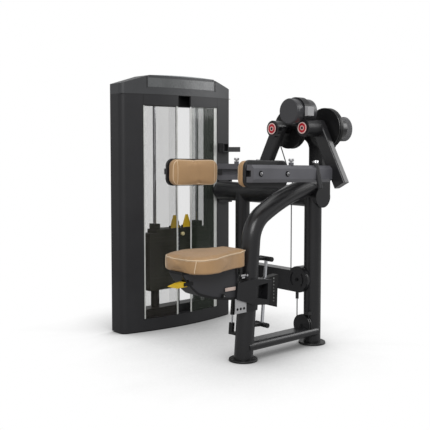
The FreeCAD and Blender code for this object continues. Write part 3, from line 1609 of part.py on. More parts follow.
def arm_bar(name, side, arm_x):
    """The beam along the arm's lower end, with bevelled edges and a groove for the pad's slide."""
    length = (arm_x - s.bar_start_x) / cosine(s.bar_slope)
    outer = s.bar_outer_y
    inner = outer - s.bar_thickness
    half = s.bar_height / 2
    face = s.bar_face_height / 2
    slot = s.rail_slot_height / 2
    deep = inner + s.rail_slot_depth
    outline = [
        corner(side * inner, -half),
        corner(side * (outer - s.bar_bevel), -half),
        corner(side * outer, -face),
        corner(side * outer, face),
        corner(side * (outer - s.bar_bevel), half),
        corner(side * inner, half),
        corner(side * inner, slot),
        corner(side * deep, slot),
        corner(side * deep, -slot),
        corner(side * inner, -slot),
    ]
    bar = prism(f"{name}_body", "X", [outline], ZERO, length)
    on_bar(bar, side)
    arm_room = box(f"{name}_trim", (arm_x, arm_x + s.arm_depth), (-s.bar_outer_y * 2, s.bar_outer_y * 2),
                   (s.bar_start_z - s.bar_height * 2, s.bar_start_z + s.bar_height * 2))
    return node(cut(name, bar, arm_room), name)


def arm_grip(name, side):
    """The round hand grip let into the bar's outer face, leaning out at its foot, with a metal cap."""
    half = s.grip_length / 2
    grip = turned(name, "Z", [
        corner(-half, ZERO),
        corner(-half, s.grip_radius, rounding=s.bush_flange),
        corner(half, s.grip_radius),
        corner(half, s.grip_cap_radius),
        corner(half + s.grip_cap_height, s.grip_cap_radius, rounding=s.bush_flange),
        corner(half + s.grip_cap_height, ZERO),
    ])
    place(grip, x=s.bar_start_x + s.grip_along, y=side * (s.bar_outer_y + s.grip_offset),
          z=s.bar_start_z - s.grip_along * sine(s.bar_slope) - s.grip_drop,
          axis=Vector(1, 0, 0), angle=side * s.grip_lean)
    return node(grip, name)


def pop_knob(name, side):
    """A pull knob on top of the bar, with its spring pin reaching down to the slide."""
    top = s.bar_height / 2
    middle_y = side * (s.bar_outer_y - s.bar_thickness / 2)
    head = top + s.knob_base_height + s.knob_stem_gap
    body = turned(name, "Z", [
        corner(top - s.knob_pin_depth, ZERO),
        corner(top - s.knob_pin_depth, s.knob_stem_radius),
        corner(head, s.knob_stem_radius),
        corner(head, s.knob_radius - s.bush_flange),
        corner(head + s.bush_flange, s.knob_radius),
        corner(head + s.knob_height, s.knob_radius, rounding=s.bush_flange),
        corner(head + s.knob_height, ZERO),
    ])
    x = s.bar_start_x + s.knob_along * cosine(s.bar_slope)
    z = s.bar_start_z - s.knob_along * sine(s.bar_slope)
    place(body, x=x, y=middle_y, z=z, axis=Vector(0, 1, 0), angle=s.bar_slope)
    base = turned(f"{name}_base", "Z", tube_profile(top, top + s.knob_base_height, s.knob_base_radius,
                                                    s.knob_stem_radius + s.running_gap))
    place(base, x=x, y=middle_y, z=z, axis=Vector(0, 1, 0), angle=s.bar_slope)
    return node(body, name), base


def bar_with_knob(side, name, arm_x, knob_name, grip_name):
    """Bore the bar for the knob's pin, weld the knob's base on it and let the hand grip into it."""
    plain = arm_bar(f"{name}_plain", side, arm_x)
    del nodes[f"{name}_plain"]
    knob, base = pop_knob(knob_name, side)
    top = s.bar_height / 2
    bore = turned(f"{name}_bore", "Z", tube_profile(top - s.knob_pin_depth - s.slip_gap, top + s.overrun,
                                                    s.knob_stem_radius + s.running_gap))
    x = s.bar_start_x + s.knob_along * cosine(s.bar_slope)
    z = s.bar_start_z - s.knob_along * sine(s.bar_slope)
    middle_y = side * (s.bar_outer_y - s.bar_thickness / 2)
    place(bore, x=x, y=middle_y, z=z, axis=Vector(0, 1, 0), angle=s.bar_slope)
    whole = fuse(f"{name}_whole", cut(f"{name}_bored", plain, bore), base)
    return node(cut(name, whole, arm_grip(grip_name, side)), name)


def rounded_wire(half_length, half_height, rounding, depth):
    """A rounded rectangle in X and Z, at a depth along Y."""
    x, z, r = half_length, half_height, min(rounding, half_height * LARGEST_ROUND_SHARE)
    slant = r * (1 - DIAGONAL_SHARE)
    edges = []
    signs = [(1, -1), (1, 1), (-1, 1), (-1, -1)]
    for i, (sx, sz) in enumerate(signs):
        nx, nz = signs[(i + 1) % 4]
        lengthwise = sx != nx
        if lengthwise:
            begin = Vector(sx * (x - r), depth, sz * z)
            end = Vector(nx * (x - r), depth, nz * z)
            turn_start, turn_end = end, Vector(nx * x, depth, nz * (z - r))
        else:
            begin = Vector(sx * x, depth, sz * (z - r))
            end = Vector(nx * x, depth, nz * (z - r))
            turn_start, turn_end = end, Vector(nx * (x - r), depth, nz * z)
        middle = Vector(nx * (x - slant), depth, nz * (z - slant))
        edges.append(Part.LineSegment(begin, end).toShape())
        edges.append(Part.Arc(turn_start, middle, turn_end).toShape())
    return Part.Wire(edges)


def arm_pad(prefix, side, along):
    """A crowned leather pad in a moulded backing shell, with the slide that runs in the bar."""
    half_length = float(s.pad_length) / 2
    half_height = float(s.pad_height) / 2
    rounding = float(s.pad_corner_round)
    crown, pull = float(s.pad_crown), float(s.pad_pull_in)
    depth = float(s.pad_depth)
    depth_shares = (0.0, 0.32, 0.74, 0.92, 1.0)
    inset_shares = (1.0, 0.0, 0.0, 1.1, 3.4)
    back_y = float(s.pad_inner_y) + depth
    rings = []
    for depth_share, inset_share in zip(depth_shares, inset_shares):
        inset = pull * inset_share
        rings.append(rounded_wire(half_length - inset, half_height - inset, rounding - inset / 2,
                                  side * (back_y - depth * depth_share)))
    crown_inset = pull * inset_shares[-1] + crown * 3
    rings.insert(len(rings), rounded_wire(half_length - crown_inset, half_height - crown_inset,
                                          rounding - crown_inset / 2,
                                          side * (back_y - depth - crown / 2)))
    cushion = made(f"{prefix}_pad_cushion", Part.makeLoft(rings, True, True))
    middle = along + s.pad_length / 2
    node(on_bar(cushion, side, along=middle, lift=-s.shell_drop), f"{prefix}_pad_cushion")

    grow = s.shell_overhang
    x_half = s.pad_length / 2 + grow - s.pad_pull_in
    z_half = s.pad_height / 2 + grow - s.pad_pull_in
    low, high = s.pad_inner_y + s.pad_depth + s.slip_gap, s.pad_inner_y + s.pad_depth + s.shell_depth
    if side == NEAR:
        low, high = -high, -low
    outline = [corner(sx * x_half, sz * z_half, rounding=s.pad_corner_round)
               for sx, sz in ((-1, -1), (1, -1), (1, 1), (-1, 1))]
    shell = prism(f"{prefix}_shell_plate", "Y", [outline], low, high)
    outer_face = high if side == FAR else low
    soften(shell, s.shell_wall, near_edges_at_y(outer_face))
    on_bar(shell, side, along=middle, lift=-s.shell_drop)
    slide_low = s.pad_inner_y + s.pad_depth + s.shell_depth - s.shell_drop
    slide_high = s.bar_outer_y - s.bar_thickness + s.rail_slot_depth - s.slide_gap
    if side == NEAR:
        slide_low, slide_high = -slide_high, -slide_low
    tall = s.slide_height / 2
    slide = box(f"{prefix}_slide", (ZERO, s.slide_length), (slide_low, slide_high), (-tall, tall))
    offset = along + s.slide_start
    x = s.bar_start_x + offset * cosine(s.bar_slope) - tall * sine(s.bar_slope)
    z = s.bar_start_z - offset * sine(s.bar_slope) - tall * cosine(s.bar_slope)
    place(slide, x=x, y=slide_low, z=z, axis=Vector(0, 1, 0), angle=s.bar_slope)
    return node(fuse(f"{prefix}_pad_shell", shell, slide), f"{prefix}_pad_shell")


def near_edges_at_y(y):
    """Accept every edge that lies in one plane square to Y."""
    def pick(edge):
        bounds = edge.BoundBox
        return abs(bounds.YMin - float(y)) < SAME_PLANE and abs(bounds.YMax - float(y)) < SAME_PLANE
    return pick


def seat_wire(inset, z):
    """The seat's outline from above: broad and rounded behind, waisted, narrow in front."""
    length = float(s.seat_front_x - s.seat_back_x)
    half = float(s.seat_half_width)
    back = float(s.seat_back_x)
    place_shares = ((0.0, 0.0), (0.05, 0.66), (0.10, 0.88), (0.215, 1.0), (0.37, 0.86),
                    (0.52, 0.665), (0.78, 0.59), (0.93, 0.56), (1.0, 0.40), (1.0, 0.0))
    right = [Vector(back + inset + (length - 2 * inset) * along_share,
                    -(half - inset) * across_share, z) for along_share, across_share in place_shares]
    left = [Vector(p.x, -p.y, p.z) for p in reversed(right)]
    edges = []
    for side in (right, left):
        start = 0 if side is right else 1
        if side is left:
            edges.append(Part.LineSegment(side[0], side[1]).toShape())
        for i in range(start, len(side) - 2, 2):
            edges.append(Part.Arc(side[i], side[i + 1], side[i + 2]).toShape())
        if side is right:
            edges.append(Part.LineSegment(side[-2], side[-1]).toShape())
    return Part.Wire(edges)


def seat_cushion():
    """The seat: drawn in at its foot, full at mid height and crowned on top."""
    height = float(s.seat_thickness)
    bottom = float(s.seat_top) - height
    pull = float(s.seat_pull_in)
    crown = float(s.seat_crown)
    rise_shares = (0.0, 0.22, 0.76, 0.92, 1.0)
    inset_shares = (1.4, 0.0, 0.0, 1.0, 3.2)
    body = height - crown
    rings = [seat_wire(pull * inset_share, bottom + body * rise_share)
             for rise_share, inset_share in zip(rise_shares, inset_shares)]
    rings.append(seat_wire(pull * inset_shares[-1] + crown * 6, bottom + height))
    return node(made("seat_cushion", Part.makeLoft(rings, True, True)), "seat_cushion")


def bracket_outline(inset):
    """The quarter-round bracket from the side, set in from its edge."""
    return [
        corner(s.bracket_back_x + inset, seat_bottom - inset),
        corner(s.bracket_back_x + inset, s.bracket_back_z - inset / 2, bow=s.bracket_rear_radius),
        corner(s.bracket_turn_x + inset / 2, s.bracket_turn_z + inset, bow=s.bracket_under_radius),
        corner(s.bracket_front_x - inset, s.bracket_front_z + inset),
        corner(s.bracket_front_x - inset, seat_bottom - inset),
    ]


def seat_bracket():
    """The bracket under the cushion, recessed inside a thick rim, with the lever's clevis."""
    half = s.bracket_half_width
    body = prism("bracket_body", "Y", [bracket_outline(ZERO)], -half, half)
    pocket(body, "Y", [bracket_outline(s.bracket_rim)], -half, -half + s.bracket_recess)
    pocket(body, "Y", [bracket_outline(s.bracket_rim)], half - s.bracket_recess, half)
    room = s.lever_half_width + s.slide_gap
    reach = s.lever_root_radius
    ears = []
    for low_y in (s.lever_y - room - s.lever_ear, s.lever_y + room):
        ears.append(box("lever_clevis", (s.lever_pin_x - reach, s.lever_pin_x + reach * 4),
                        (low_y, low_y + s.lever_ear), (s.lever_pin_z - reach / 2, s.lever_pin_z + reach)))
    gap = box("lever_room", (s.lever_pin_x - reach * 3, s.lever_pin_x + reach * 2),
              (s.lever_y - room, s.lever_y + room), (s.lever_pin_z - reach * 4, s.lever_pin_z + reach * 2))
    pin = cylinder("lever_clevis_pin", "Y", s.lever_pin_radius, s.lever_y - room - s.lever_ear,
                   s.lever_y + room + s.lever_ear, x=s.lever_pin_x, z=s.lever_pin_z)
    return fuse("bracket_with_pin", cut("bracket_open", fuse("bracket_whole", body, *ears), gap), pin)


def lean_cylinder(name, radius, low, high, offset_x=ZERO, offset_y=ZERO):
    """A round bar along the front post's leaning axis, beside it by the offsets."""
    bar = cylinder(name, "Z", radius, low, high)
    return place_lean_offset(bar, offset_x, offset_y, low)


def seat_carriage():
    """The sleeve on the leaning post, its side box with windows, the scale plate and the bracket."""
    half = s.carriage_half_width
    outline = [
        corner(s.carriage_back_low_x, s.carriage_back_low_z),
        corner(s.carriage_waist_x, s.carriage_waist_z),
        corner(s.carriage_front_low_x, s.carriage_front_low_z),
        corner(s.carriage_front_high_x, s.carriage_front_high_z),
        corner(s.carriage_crest_x, s.carriage_crest_z),
        corner(s.carriage_back_high_x, s.carriage_back_high_z),
    ]
    body = prism("carriage_body", "Y", [outline], -half, half)
    window = [
        corner(s.window_left, s.window_left_low_z),
        corner(s.window_right_low, s.window_right_low_z),
        corner(s.window_right_high, s.window_right_high_z),
        corner(s.window_left, s.window_left_high_z),
    ]
    pocket(body, "Y", [window], -half, -half + s.window_depth)
    pocket(body, "Y", [window], half - s.window_depth, half)
    scale = prism("scale_plate", "Y", [[
        corner(s.window_right_low, s.carriage_front_low_z),
        corner(s.indicator_low_x, s.indicator_low_z),
        corner(s.indicator_high_x, s.indicator_high_z),
        corner(s.window_right_high, s.carriage_front_high_z),
    ]], -s.indicator_half_width, s.indicator_half_width)
    sleeve = lean_cylinder("carriage_sleeve", s.front_post_diameter / 2 + s.sleeve_wall, s.sleeve_low, s.sleeve_high)
    gas_top = s.gas_body_low + s.gas_body_length
    lug = box("gas_lug", (s.gas_offset_x, s.gas_offset_x + s.gas_lug_reach * 2),
              (ZERO, s.gas_offset_y + s.gas_body_radius), (gas_top, gas_top + s.gas_lug_height))
    place_lean_offset(lug, s.gas_offset_x - s.gas_lug_reach, ZERO, gas_top)
    whole = fuse("carriage_whole", body, scale, sleeve, lug, seat_bracket())
    post = lean_cylinder("carriage_bore", s.front_post_diameter / 2 + s.slip_gap, s.guide_rod_start, post_straight)
    rod = lean_cylinder("carriage_rod_bore", s.guide_rod_radius + s.slip_gap, s.guide_rod_start, post_straight,
                        s.guide_rod_offset)
    gas = lean_cylinder("carriage_gas_room", s.gas_body_radius, s.gas_body_low, gas_top, s.gas_offset_x, s.gas_offset_y)
    return node(cut("seat_carriage", whole, post, rod, gas), "seat_carriage")


def gas_spring():
    """The gas spring beside the post: its body rides with the seat, its rod stands on a block."""
    top = s.gas_body_low + s.gas_body_length
    bore_top = top - s.gas_end_wall
    x, y = s.gas_offset_x, s.gas_offset_y
    outer = lean_cylinder("gas_outer", s.gas_body_radius, s.gas_body_low, top, x, y)
    bore = lean_cylinder("gas_bore", s.gas_rod_radius + s.gas_rod_bore, s.gas_body_low, bore_top, x, y)
    node(cut("gas_spring_body", outer, bore), "gas_spring_body")
    rod = lean_cylinder("gas_rod", s.gas_rod_radius, s.gas_block_top, bore_top - s.gas_rod_room, x, y)
    guide = lean_cylinder("seat_guide", s.guide_rod_radius, s.guide_rod_start,
                          s.guide_rod_start + s.guide_rod_length, s.guide_rod_offset)
    node(group("seat_rods", guide, rod), "seat_rods")


def place_lean_offset(thing, x, y, z):
    """Put an object whose own start is at (x, y, z) of the leaning frame."""
    world_x = x * cosine(s.post_lean) + z * sine(s.post_lean)
    world_z = z * cosine(s.post_lean) - x * sine(s.post_lean)
    return place(thing, x=world_x, y=y, z=world_z, axis=Vector(0, 1, 0), angle=s.post_lean)


def seat_crossbars():
    """Two short cross-bars on lugs that hold the guide rod, and the gas spring's lower block."""
    pieces = []
    for z in (s.crossbar_low, s.crossbar_high):
        bar = cylinder("crossbar", "Y", s.crossbar_radius, -s.crossbar_half_length, s.crossbar_half_length,
                       x=s.guide_rod_offset, z=z)
        lug = box("crossbar_lug", (ZERO, s.guide_rod_offset), (-s.lug_half_width, s.lug_half_width),
                  (z - s.lug_height / 2, z + s.lug_height / 2))
        pieces += [bar, lug]
    low = s.gas_block_top - s.gas_block_height
    block = cylinder("gas_block", "Z", s.gas_block_radius, low, s.gas_block_top,
                     x=s.gas_offset_x, y=s.gas_offset_y)
    tie = box("gas_block_tie", (s.gas_offset_x - s.lug_half_width, s.gas_offset_x + s.lug_half_width),
              (ZERO, s.gas_offset_y), (low, low + s.lug_height))
    whole = fuse("crossbars_whole", *pieces, block, tie)
    post = cylinder("crossbar_post_room", "Z", s.front_post_diameter / 2, ZERO, post_straight)
    rod = cylinder("crossbar_rod_room", "Z", s.guide_rod_radius, s.guide_rod_start,
                   s.guide_rod_start + s.guide_rod_length, x=s.guide_rod_offset)
    return node(place_lean(cut("seat_crossbars", whole, post, rod)), "seat_crossbars")


def seat_lever():
    """The yellow seat lever: a round root on its pin and a blunt pointed handle."""
    root_radius = s.lever_root_radius
    half = s.lever_handle_height / 2
    shoulder = -s.lever_handle_length * s.lever_tip_share
    outline = [
        corner(-root_radius, -root_radius),
        corner(root_radius, -root_radius),
        corner(root_radius, root_radius),
        corner(-root_radius, half),
        corner(shoulder, half * s.lever_high_share),
        corner(-s.lever_handle_length, ZERO),
        corner(shoulder, -half * s.lever_low_share),
    ]
    body = prism("seat_lever", "Y", [outline, ring(ZERO, ZERO, s.lever_pin_radius + s.running_gap)],
                 -s.lever_half_width, s.lever_half_width)
    return node(place(body, x=s.lever_pin_x, y=s.lever_y, z=s.lever_pin_z), "seat_lever")


def accessory_hook():
    """The small open holder on the right column, with a horn at its inner end."""
    left, right = s.hook_left, s.hook_left + s.hook_width
    front, back = s.hook_front, s.hook_front + s.hook_depth
    low, high = s.hook_height, s.hook_height + s.hook_tall
    wall = s.hook_wall
    tray = box("hook_tray", (left, right), (front, back), (low, high))
    horn = box("hook_horn", (left, left + s.hook_horn), (front, back), (low, low + s.hook_horn_tall))
    well = box("hook_well", (left + s.hook_horn + wall, right - wall), (front + wall, s.tower_front - wall),
               (low + wall, high + s.overrun))
    slot = box("hook_slot", (left + wall, left + s.hook_horn - wall), (front - s.overrun, s.tower_front),
               (low + wall, low + s.hook_horn_tall - wall))
    fit = prism("hook_fit", "Z", [plan_outline(s.tower_left, tower_right, s.tower_back)],
                low - s.overrun, high + s.hook_horn_tall)
    return node(cut("accessory_hook", fuse("hook_whole", tray, horn), well, slot, fit), "accessory_hook")


# Build every sub-part
tower_column("tower_left_column", s.tower_left, s.opening_left, s.tower_left)
tower_column("tower_right_column", opening_right, tower_right, tower_right)
tower_cap()
tower_covers()
shields()
feet()
guide_rods()
stack_base()
resting_plates()
lifted_plates()
selector_stem()
selector_pin()
number_strip()
addon_pieces()
tower_head()
stack_cable()
front_post()
posts()
main_beam()
lower_beam()
lower_beam_cover()
bottom_rail()
low_pulleys()
axles_and_bolts()
frame_cables()
pivot_yoke()
arm_shaft("near_shaft", NEAR, s.near_cam_x, s.hub_front + s.hub_cap_depth * 3,
          yoke_back + s.bush_flange + s.shaft_collar)
arm_shaft("far_shaft", FAR, s.far_cam_x, s.far_hub_front + s.hub_cap_depth * 3,
          s.far_weight_x + s.far_clamp_depth / 2)
near_hub()
far_hub()
arm_tube("near_arm", NEAR, s.near_arm_x)
arm_tube("far_arm", FAR, s.far_arm_x)
counterweights()
bar_with_knob(NEAR, "near_bar", s.near_arm_x, "near_knob", "near_grip")
bar_with_knob(FAR, "far_bar", s.far_arm_x, "far_knob", "far_grip")
arm_pad("near", NEAR, s.near_pad_along)
arm_pad("far", FAR, s.far_pad_along)
seat_cushion()
seat_carriage()
gas_spring()
seat_crossbars()
seat_lever()
accessory_hook()

doc.recompute()

# Check every object, then write each sub-part
for thing in doc.Objects:
    for state in ("Invalid", "Error"):
        if state in thing.State:
            raise RuntimeError(f"{thing.Label} is {state}")
for label, thing in nodes.items():
    if thing.Shape.isNull() or not thing.Shape.isValid() or not thing.Shape.Solids:
        raise RuntimeError(f"{label} has no valid solid")

os.makedirs("parts", exist_ok=True)
for label, thing in nodes.items():
    thing.Shape.exportStep(f"parts/{label}.step")
print(f"{len(nodes)} sub-parts written")
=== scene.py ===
import json
import math

import bmesh
import bpy
from mathutils import Matrix, Vector
from mathutils.bvhtree import BVHTree


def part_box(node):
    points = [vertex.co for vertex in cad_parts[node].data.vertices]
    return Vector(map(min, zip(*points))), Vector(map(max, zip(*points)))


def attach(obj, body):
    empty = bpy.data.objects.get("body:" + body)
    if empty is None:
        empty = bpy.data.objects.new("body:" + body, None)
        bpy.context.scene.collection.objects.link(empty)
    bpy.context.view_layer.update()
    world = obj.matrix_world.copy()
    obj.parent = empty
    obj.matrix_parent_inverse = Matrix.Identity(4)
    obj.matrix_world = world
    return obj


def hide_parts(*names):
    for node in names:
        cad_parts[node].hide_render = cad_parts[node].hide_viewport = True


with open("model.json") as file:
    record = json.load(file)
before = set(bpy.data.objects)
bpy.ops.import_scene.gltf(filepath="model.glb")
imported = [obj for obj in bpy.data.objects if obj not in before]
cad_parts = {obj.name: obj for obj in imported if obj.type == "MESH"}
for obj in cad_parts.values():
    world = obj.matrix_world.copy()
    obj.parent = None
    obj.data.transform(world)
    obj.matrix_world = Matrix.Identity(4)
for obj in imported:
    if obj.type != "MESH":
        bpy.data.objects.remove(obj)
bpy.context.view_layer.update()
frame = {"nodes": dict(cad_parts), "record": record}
nodes = frame["nodes"]
scene = bpy.context.scene

# ---------------------------------------------------------------- the object's own sizes, in metres
AXIS_X, AXIS_Y, AXIS_Z = (1, 0, 0), (0, 1, 0), (0, 0, 1)
TO_USER_SIDE = (0, -1, 0)
BEYOND = 10.0
SIDES = (("near", -1), ("far", 1))

TOWER_CENTRE = 0.25
BOW_RADIUS = 1.6
TOWER_FRONT = 0.8
CAP_TOP = 1.5452
BAND = (1.3675, 1.4305)
NAME_PANEL = (1.4745, 1.5290)
PANEL_GROOVE = (1.4752, 1.5283)
OPENING = (0.0785, 1.366)

HUBS = (("near", 0.317, -0.115), ("far", 0.321, 0.115))
HUB_HEIGHT = 1.218
BOLT_PAD_Y = (-0.3, -0.1335)
BOLT_PAD_Z = (1.275, 1.34)
GRIP_CAP = 1.0335
BAR_SLOPE = math.radians(1.4)
BAR_START_X, BAR_START_Z = -0.149, 0.988
BAR_FACE = 0.23

NUMBER_COUNT = 14
NUMBER_STEP = 5
TOP_NUMBER = 0.577
PLATE_PITCH = 0.025
STRIP_MIDDLE = 0.225
STRIP_FACE = 0.8365
PIN_BALL = 0.8318

SEAT_OUTLINE = (
    (-0.444, 0.058), (-0.434, 0.104), (-0.404, 0.144), (-0.352, 0.166), (-0.296, 0.162), (-0.240, 0.142),
    (-0.185, 0.120), (-0.132, 0.105), (-0.084, 0.099), (-0.058, 0.084), (-0.049, 0.050),
)
SEAT_PLAN = [(x, -y) for x, y in SEAT_OUTLINE] + [(x, y) for x, y in reversed(SEAT_OUTLINE)]
SEAT_FOOT = 0.511
SEAT_FLAT = 0.508
SEAT_SEAM = (-0.421, 0.121)
SEAM_FOOT = 0.514
SEAM_STEPS = 16
PAD_BACK = 0.158
COVER_INSET = 0.0025
SEAM_LIFT = 0.0006
STITCH_GAP = 0.0055
STITCH_RADIUS = 0.0007
CLOTH_FRAMES = 20
RING_STEPS = 64


def bow(x):
    """How far back the tower's bowed front lies at a place across it."""
    return TOWER_FRONT + BOW_RADIUS - math.sqrt(BOW_RADIUS ** 2 - (x - TOWER_CENTRE) ** 2)


def seat_rim(x):
    """How high the seat's top edge lies: it rises from the back corner toward the front."""
    share = min(1.0, max(0.0, (x + 0.43) / 0.19))
    return 0.5815 + 0.0105 * share * share * (3 - 2 * share)


# ---------------------------------------------------------------- finishes
def linear(red, green, blue):
    """A colour named by its screen values, as the shader wants it."""
    def one(value):
        value /= 255
        return value / 12.92 if value <= 0.04045 else ((value + 0.055) / 1.055) ** 2.4
    return one(red), one(green), one(blue), 1.0


class Finish:
    """One material with its shader, and short ways to add grain to it."""

    def __init__(self, name, colour, roughness, metallic=0.0):
        self.material = bpy.data.materials.new(name)
        self.material.use_nodes = True
        self.tree = self.material.node_tree
        self.shader = self.tree.nodes["Principled BSDF"]
        self.colour = colour
        self.set("Base Color", colour)
        self.set("Roughness", roughness)
        self.set("Metallic", metallic)
        self.place = self.add("ShaderNodeTexCoord").outputs["Object"]
        self.height = None

    def set(self, name, value):
        """Fix one of the shader's own values."""
        self.shader.inputs[name].default_value = value

    def add(self, kind, **values):
        """Add a shader node with its settings."""
        made = self.tree.nodes.new(kind)
        for key, value in values.items():
            setattr(made, key, value)
        return made

    def link(self, start, end):
        self.tree.links.new(start, end)

    def stretched(self, scale):
        """The piece's own coordinates, scaled along each axis."""
        mapping = self.add("ShaderNodeMapping")
        mapping.inputs["Scale"].default_value = scale
        self.link(self.place, mapping.inputs["Vector"])
        return mapping.outputs["Vector"]

    def noise(self, scale, detail=4.0, roughness=0.55, vector=None):
        """Soft noise from 0 to 1."""
        made = self.add("ShaderNodeTexNoise")
        made.inputs["Scale"].default_value = scale
        made.inputs["Detail"].default_value = detail
        made.inputs["Roughness"].default_value = roughness
        self.link(vector or self.place, made.inputs["Vector"])
        return made.outputs["Fac"]

    def cells(self, scale, feature="DISTANCE_TO_EDGE"):
        """A pattern of small cells."""
        made = self.add("ShaderNodeTexVoronoi", feature=feature)
        made.inputs["Scale"].default_value = scale
        self.link(self.place, made.inputs["Vector"])
        return made.outputs["Distance"]

    def spread(self, value, low, high, out_low=0.0, out_high=1.0):
        """Stretch a value's range, held at its ends."""
        made = self.add("ShaderNodeMapRange")
        self.link(value, made.inputs["Value"])
        for name, number in (("From Min", low), ("From Max", high),
                             ("To Min", out_low), ("To Max", out_high)):
            made.inputs[name].default_value = number
        return made.outputs["Result"]

    def mix(self, factor, first, second):
        """Blend two colours by a mask."""
        made = self.add("ShaderNodeMix", data_type="RGBA")
        self.link(factor, made.inputs["Factor"])
        for socket, value in ((made.inputs[6], first), (made.inputs[7], second)):
            if isinstance(value, tuple):
                socket.default_value = value
            else:
                self.link(value, socket)
        return made.outputs[2]

    def shade(self, share):
        """The finish's own colour, darker or lighter by a share."""
        return tuple(min(1.0, c * share) for c in self.colour[:3]) + (1.0,)

    def mottled(self, value, dark, pale, low=0.3, high=0.7):
        """The finish's own colour, between a darker and a paler shade by a noise."""
        return self.mix(self.spread(value, low, high), self.shade(dark), self.shade(pale))

    def paint(self, colour):
        self.link(colour, self.shader.inputs["Base Color"])

    def rough(self, value):
        self.link(value, self.shader.inputs["Roughness"])

    def bump(self, value, distance, strength):
        """Add relief, on top of any relief the finish has."""
        made = self.add("ShaderNodeBump")
        made.inputs["Distance"].default_value = distance
        made.inputs["Strength"].default_value = strength
        self.link(value, made.inputs["Height"])
        if self.height is not None:
            self.link(self.height, made.inputs["Normal"])
        self.height = made.outputs["Normal"]
        self.link(self.height, self.shader.inputs["Normal"])

    def clouds(self):
        """The broad soft clouding of powder coat."""
        return self.noise(5.0, 3.0)

    def orange_peel(self, mirror=0.36):
        """The fine uneven skin of powder coat, and how strongly it mirrors."""
        fine = self.noise(900.0, 2.0)
        self.bump(fine, 0.00012, 0.6)
        self.set("Specular IOR Level", mirror)
        return fine

    def band(self, direction, low=-BEYOND, high=BEYOND):
        """1 where a point lies between two places along a direction, and 0 elsewhere."""
        dot = self.add("ShaderNodeVectorMath", operation="DOT_PRODUCT")
        self.link(self.place, dot.inputs[0])
        dot.inputs[1].default_value = direction
        inside = []
        for operation, limit in (("GREATER_THAN", low), ("LESS_THAN", high)):
            test = self.add("ShaderNodeMath", operation=operation)
            self.link(dot.outputs["Value"], test.inputs[0])
            test.inputs[1].default_value = limit
            inside.append(test.outputs[0])
        return self.both(*inside)

    def both(self, first, second):
        """1 where two masks are both 1."""
        made = self.add("ShaderNodeMath", operation="MULTIPLY")
        self.link(first, made.inputs[0])
        self.link(second, made.inputs[1])
        return made.outputs[0]


def powder_coat(name, colour, roughness, polish=0.0):
    """Textured powder coat: fine orange peel, faint clouding and duller hollows."""
    finish = Finish(name, colour, roughness)
    finish.paint(finish.mottled(finish.clouds(), 0.88, 1.12))
    fine = finish.orange_peel()
    finish.rough(finish.spread(fine, 0.3, 0.7, roughness - 0.06, roughness + 0.07))
    finish.set("Coat Weight", polish)
    finish.set("Coat Roughness", 0.25)
    return finish.material


def moulded(name, colour, roughness):
    """Moulded plastic: a fine leathered skin with soft flow marks."""
    finish = Finish(name, colour, roughness)
    cell = finish.cells(650.0, "F1")
    flow = finish.noise(14.0, 5.0)
    finish.paint(finish.mottled(flow, 0.9, 1.1))
    finish.rough(finish.spread(flow, 0.3, 0.7, roughness - 0.05, roughness + 0.08))
    finish.bump(cell, 0.0001, 0.5)
    return finish.material


def steel(name, colour, roughness=0.28):
    """Plain steel or bronze: a fine grain and faint smudges."""
    finish = Finish(name, colour, roughness, 1.0)
    grain = finish.noise(600.0, 2.0)
    smudge = finish.noise(22.0, 4.0)
    finish.paint(finish.mottled(smudge, 0.86, 1.05, 0.35, 0.7))
    finish.rough(finish.spread(smudge, 0.3, 0.75, roughness - 0.06, roughness + 0.1))
    finish.bump(grain, 0.00004, 0.5)
    return finish.material


def chrome_rod():
    """Bright chrome with a faint wear haze along the rod."""
    finish = Finish("rod_chrome", linear(225, 226, 230), 0.08, 1.0)
    haze = finish.noise(60.0, 3.0, vector=finish.stretched((1, 1, 0.1)))
    finish.rough(finish.spread(haze, 0.3, 0.8, 0.04, 0.16))
    return finish.material


def cast_plate():
    """Painted cast plates: pitted faces in a dark olive grey."""
    finish = Finish("stack_iron", linear(54, 56, 48), 0.55)
    finish.set("Specular IOR Level", 0.3)
    pits = finish.noise(420.0, 3.0, 0.7)
    finish.paint(finish.mottled(finish.noise(9.0, 4.0), 0.8, 1.18))
    finish.rough(finish.spread(pits, 0.3, 0.7, 0.42, 0.62))
    finish.bump(pits, 0.00025, 0.7)
    return finish.material


def tan_leather(name, colour):
    """Upholstery leather: pebbled grain with painted shade in its creases, broad mottling and a soft sheen.
    """
    finish = Finish(name, colour, 0.5)
    crease = finish.spread(finish.cells(420.0), 0.0, 0.12)
    warp = finish.noise(60.0, 3.0)
    tone = finish.mottled(finish.noise(11.0, 5.0, 0.6), 0.88, 1.1, 0.3, 0.72)
    # painted shade: the grain's creases take a darker colour on top of their bump
    finish.paint(finish.mix(crease, finish.shade(0.8), tone))
    finish.rough(finish.spread(warp, 0.3, 0.7, 0.44, 0.6))
    finish.bump(crease, 0.00025, 0.5)
    finish.bump(warp, 0.0004, 0.35)
    finish.set("Sheen Weight", 0.15)
    finish.set("Sheen Roughness", 0.5)
    return finish.material


def clear_sheet(name, left, right, alpha, roughness=0.04):
    """Smoke-tinted sheet: see-through, warmer and fainter on the left, with a haze of fine rubbing."""
    finish = Finish(name, left, roughness)
    on_right = finish.band(AXIS_X, low=TOWER_CENTRE)
    finish.paint(finish.mix(on_right, left, right))
    haze = finish.noise(30.0, 4.0, vector=finish.stretched((1, 1, 0.15)))
    finish.rough(finish.spread(haze, 0.3, 0.8, roughness, roughness + 0.1))
    left_alpha = alpha * 0.56
    finish.link(finish.spread(on_right, 0.0, 1.0, left_alpha, alpha), finish.shader.inputs["Alpha"])
    finish.set("IOR", 1.49)
    return finish.material


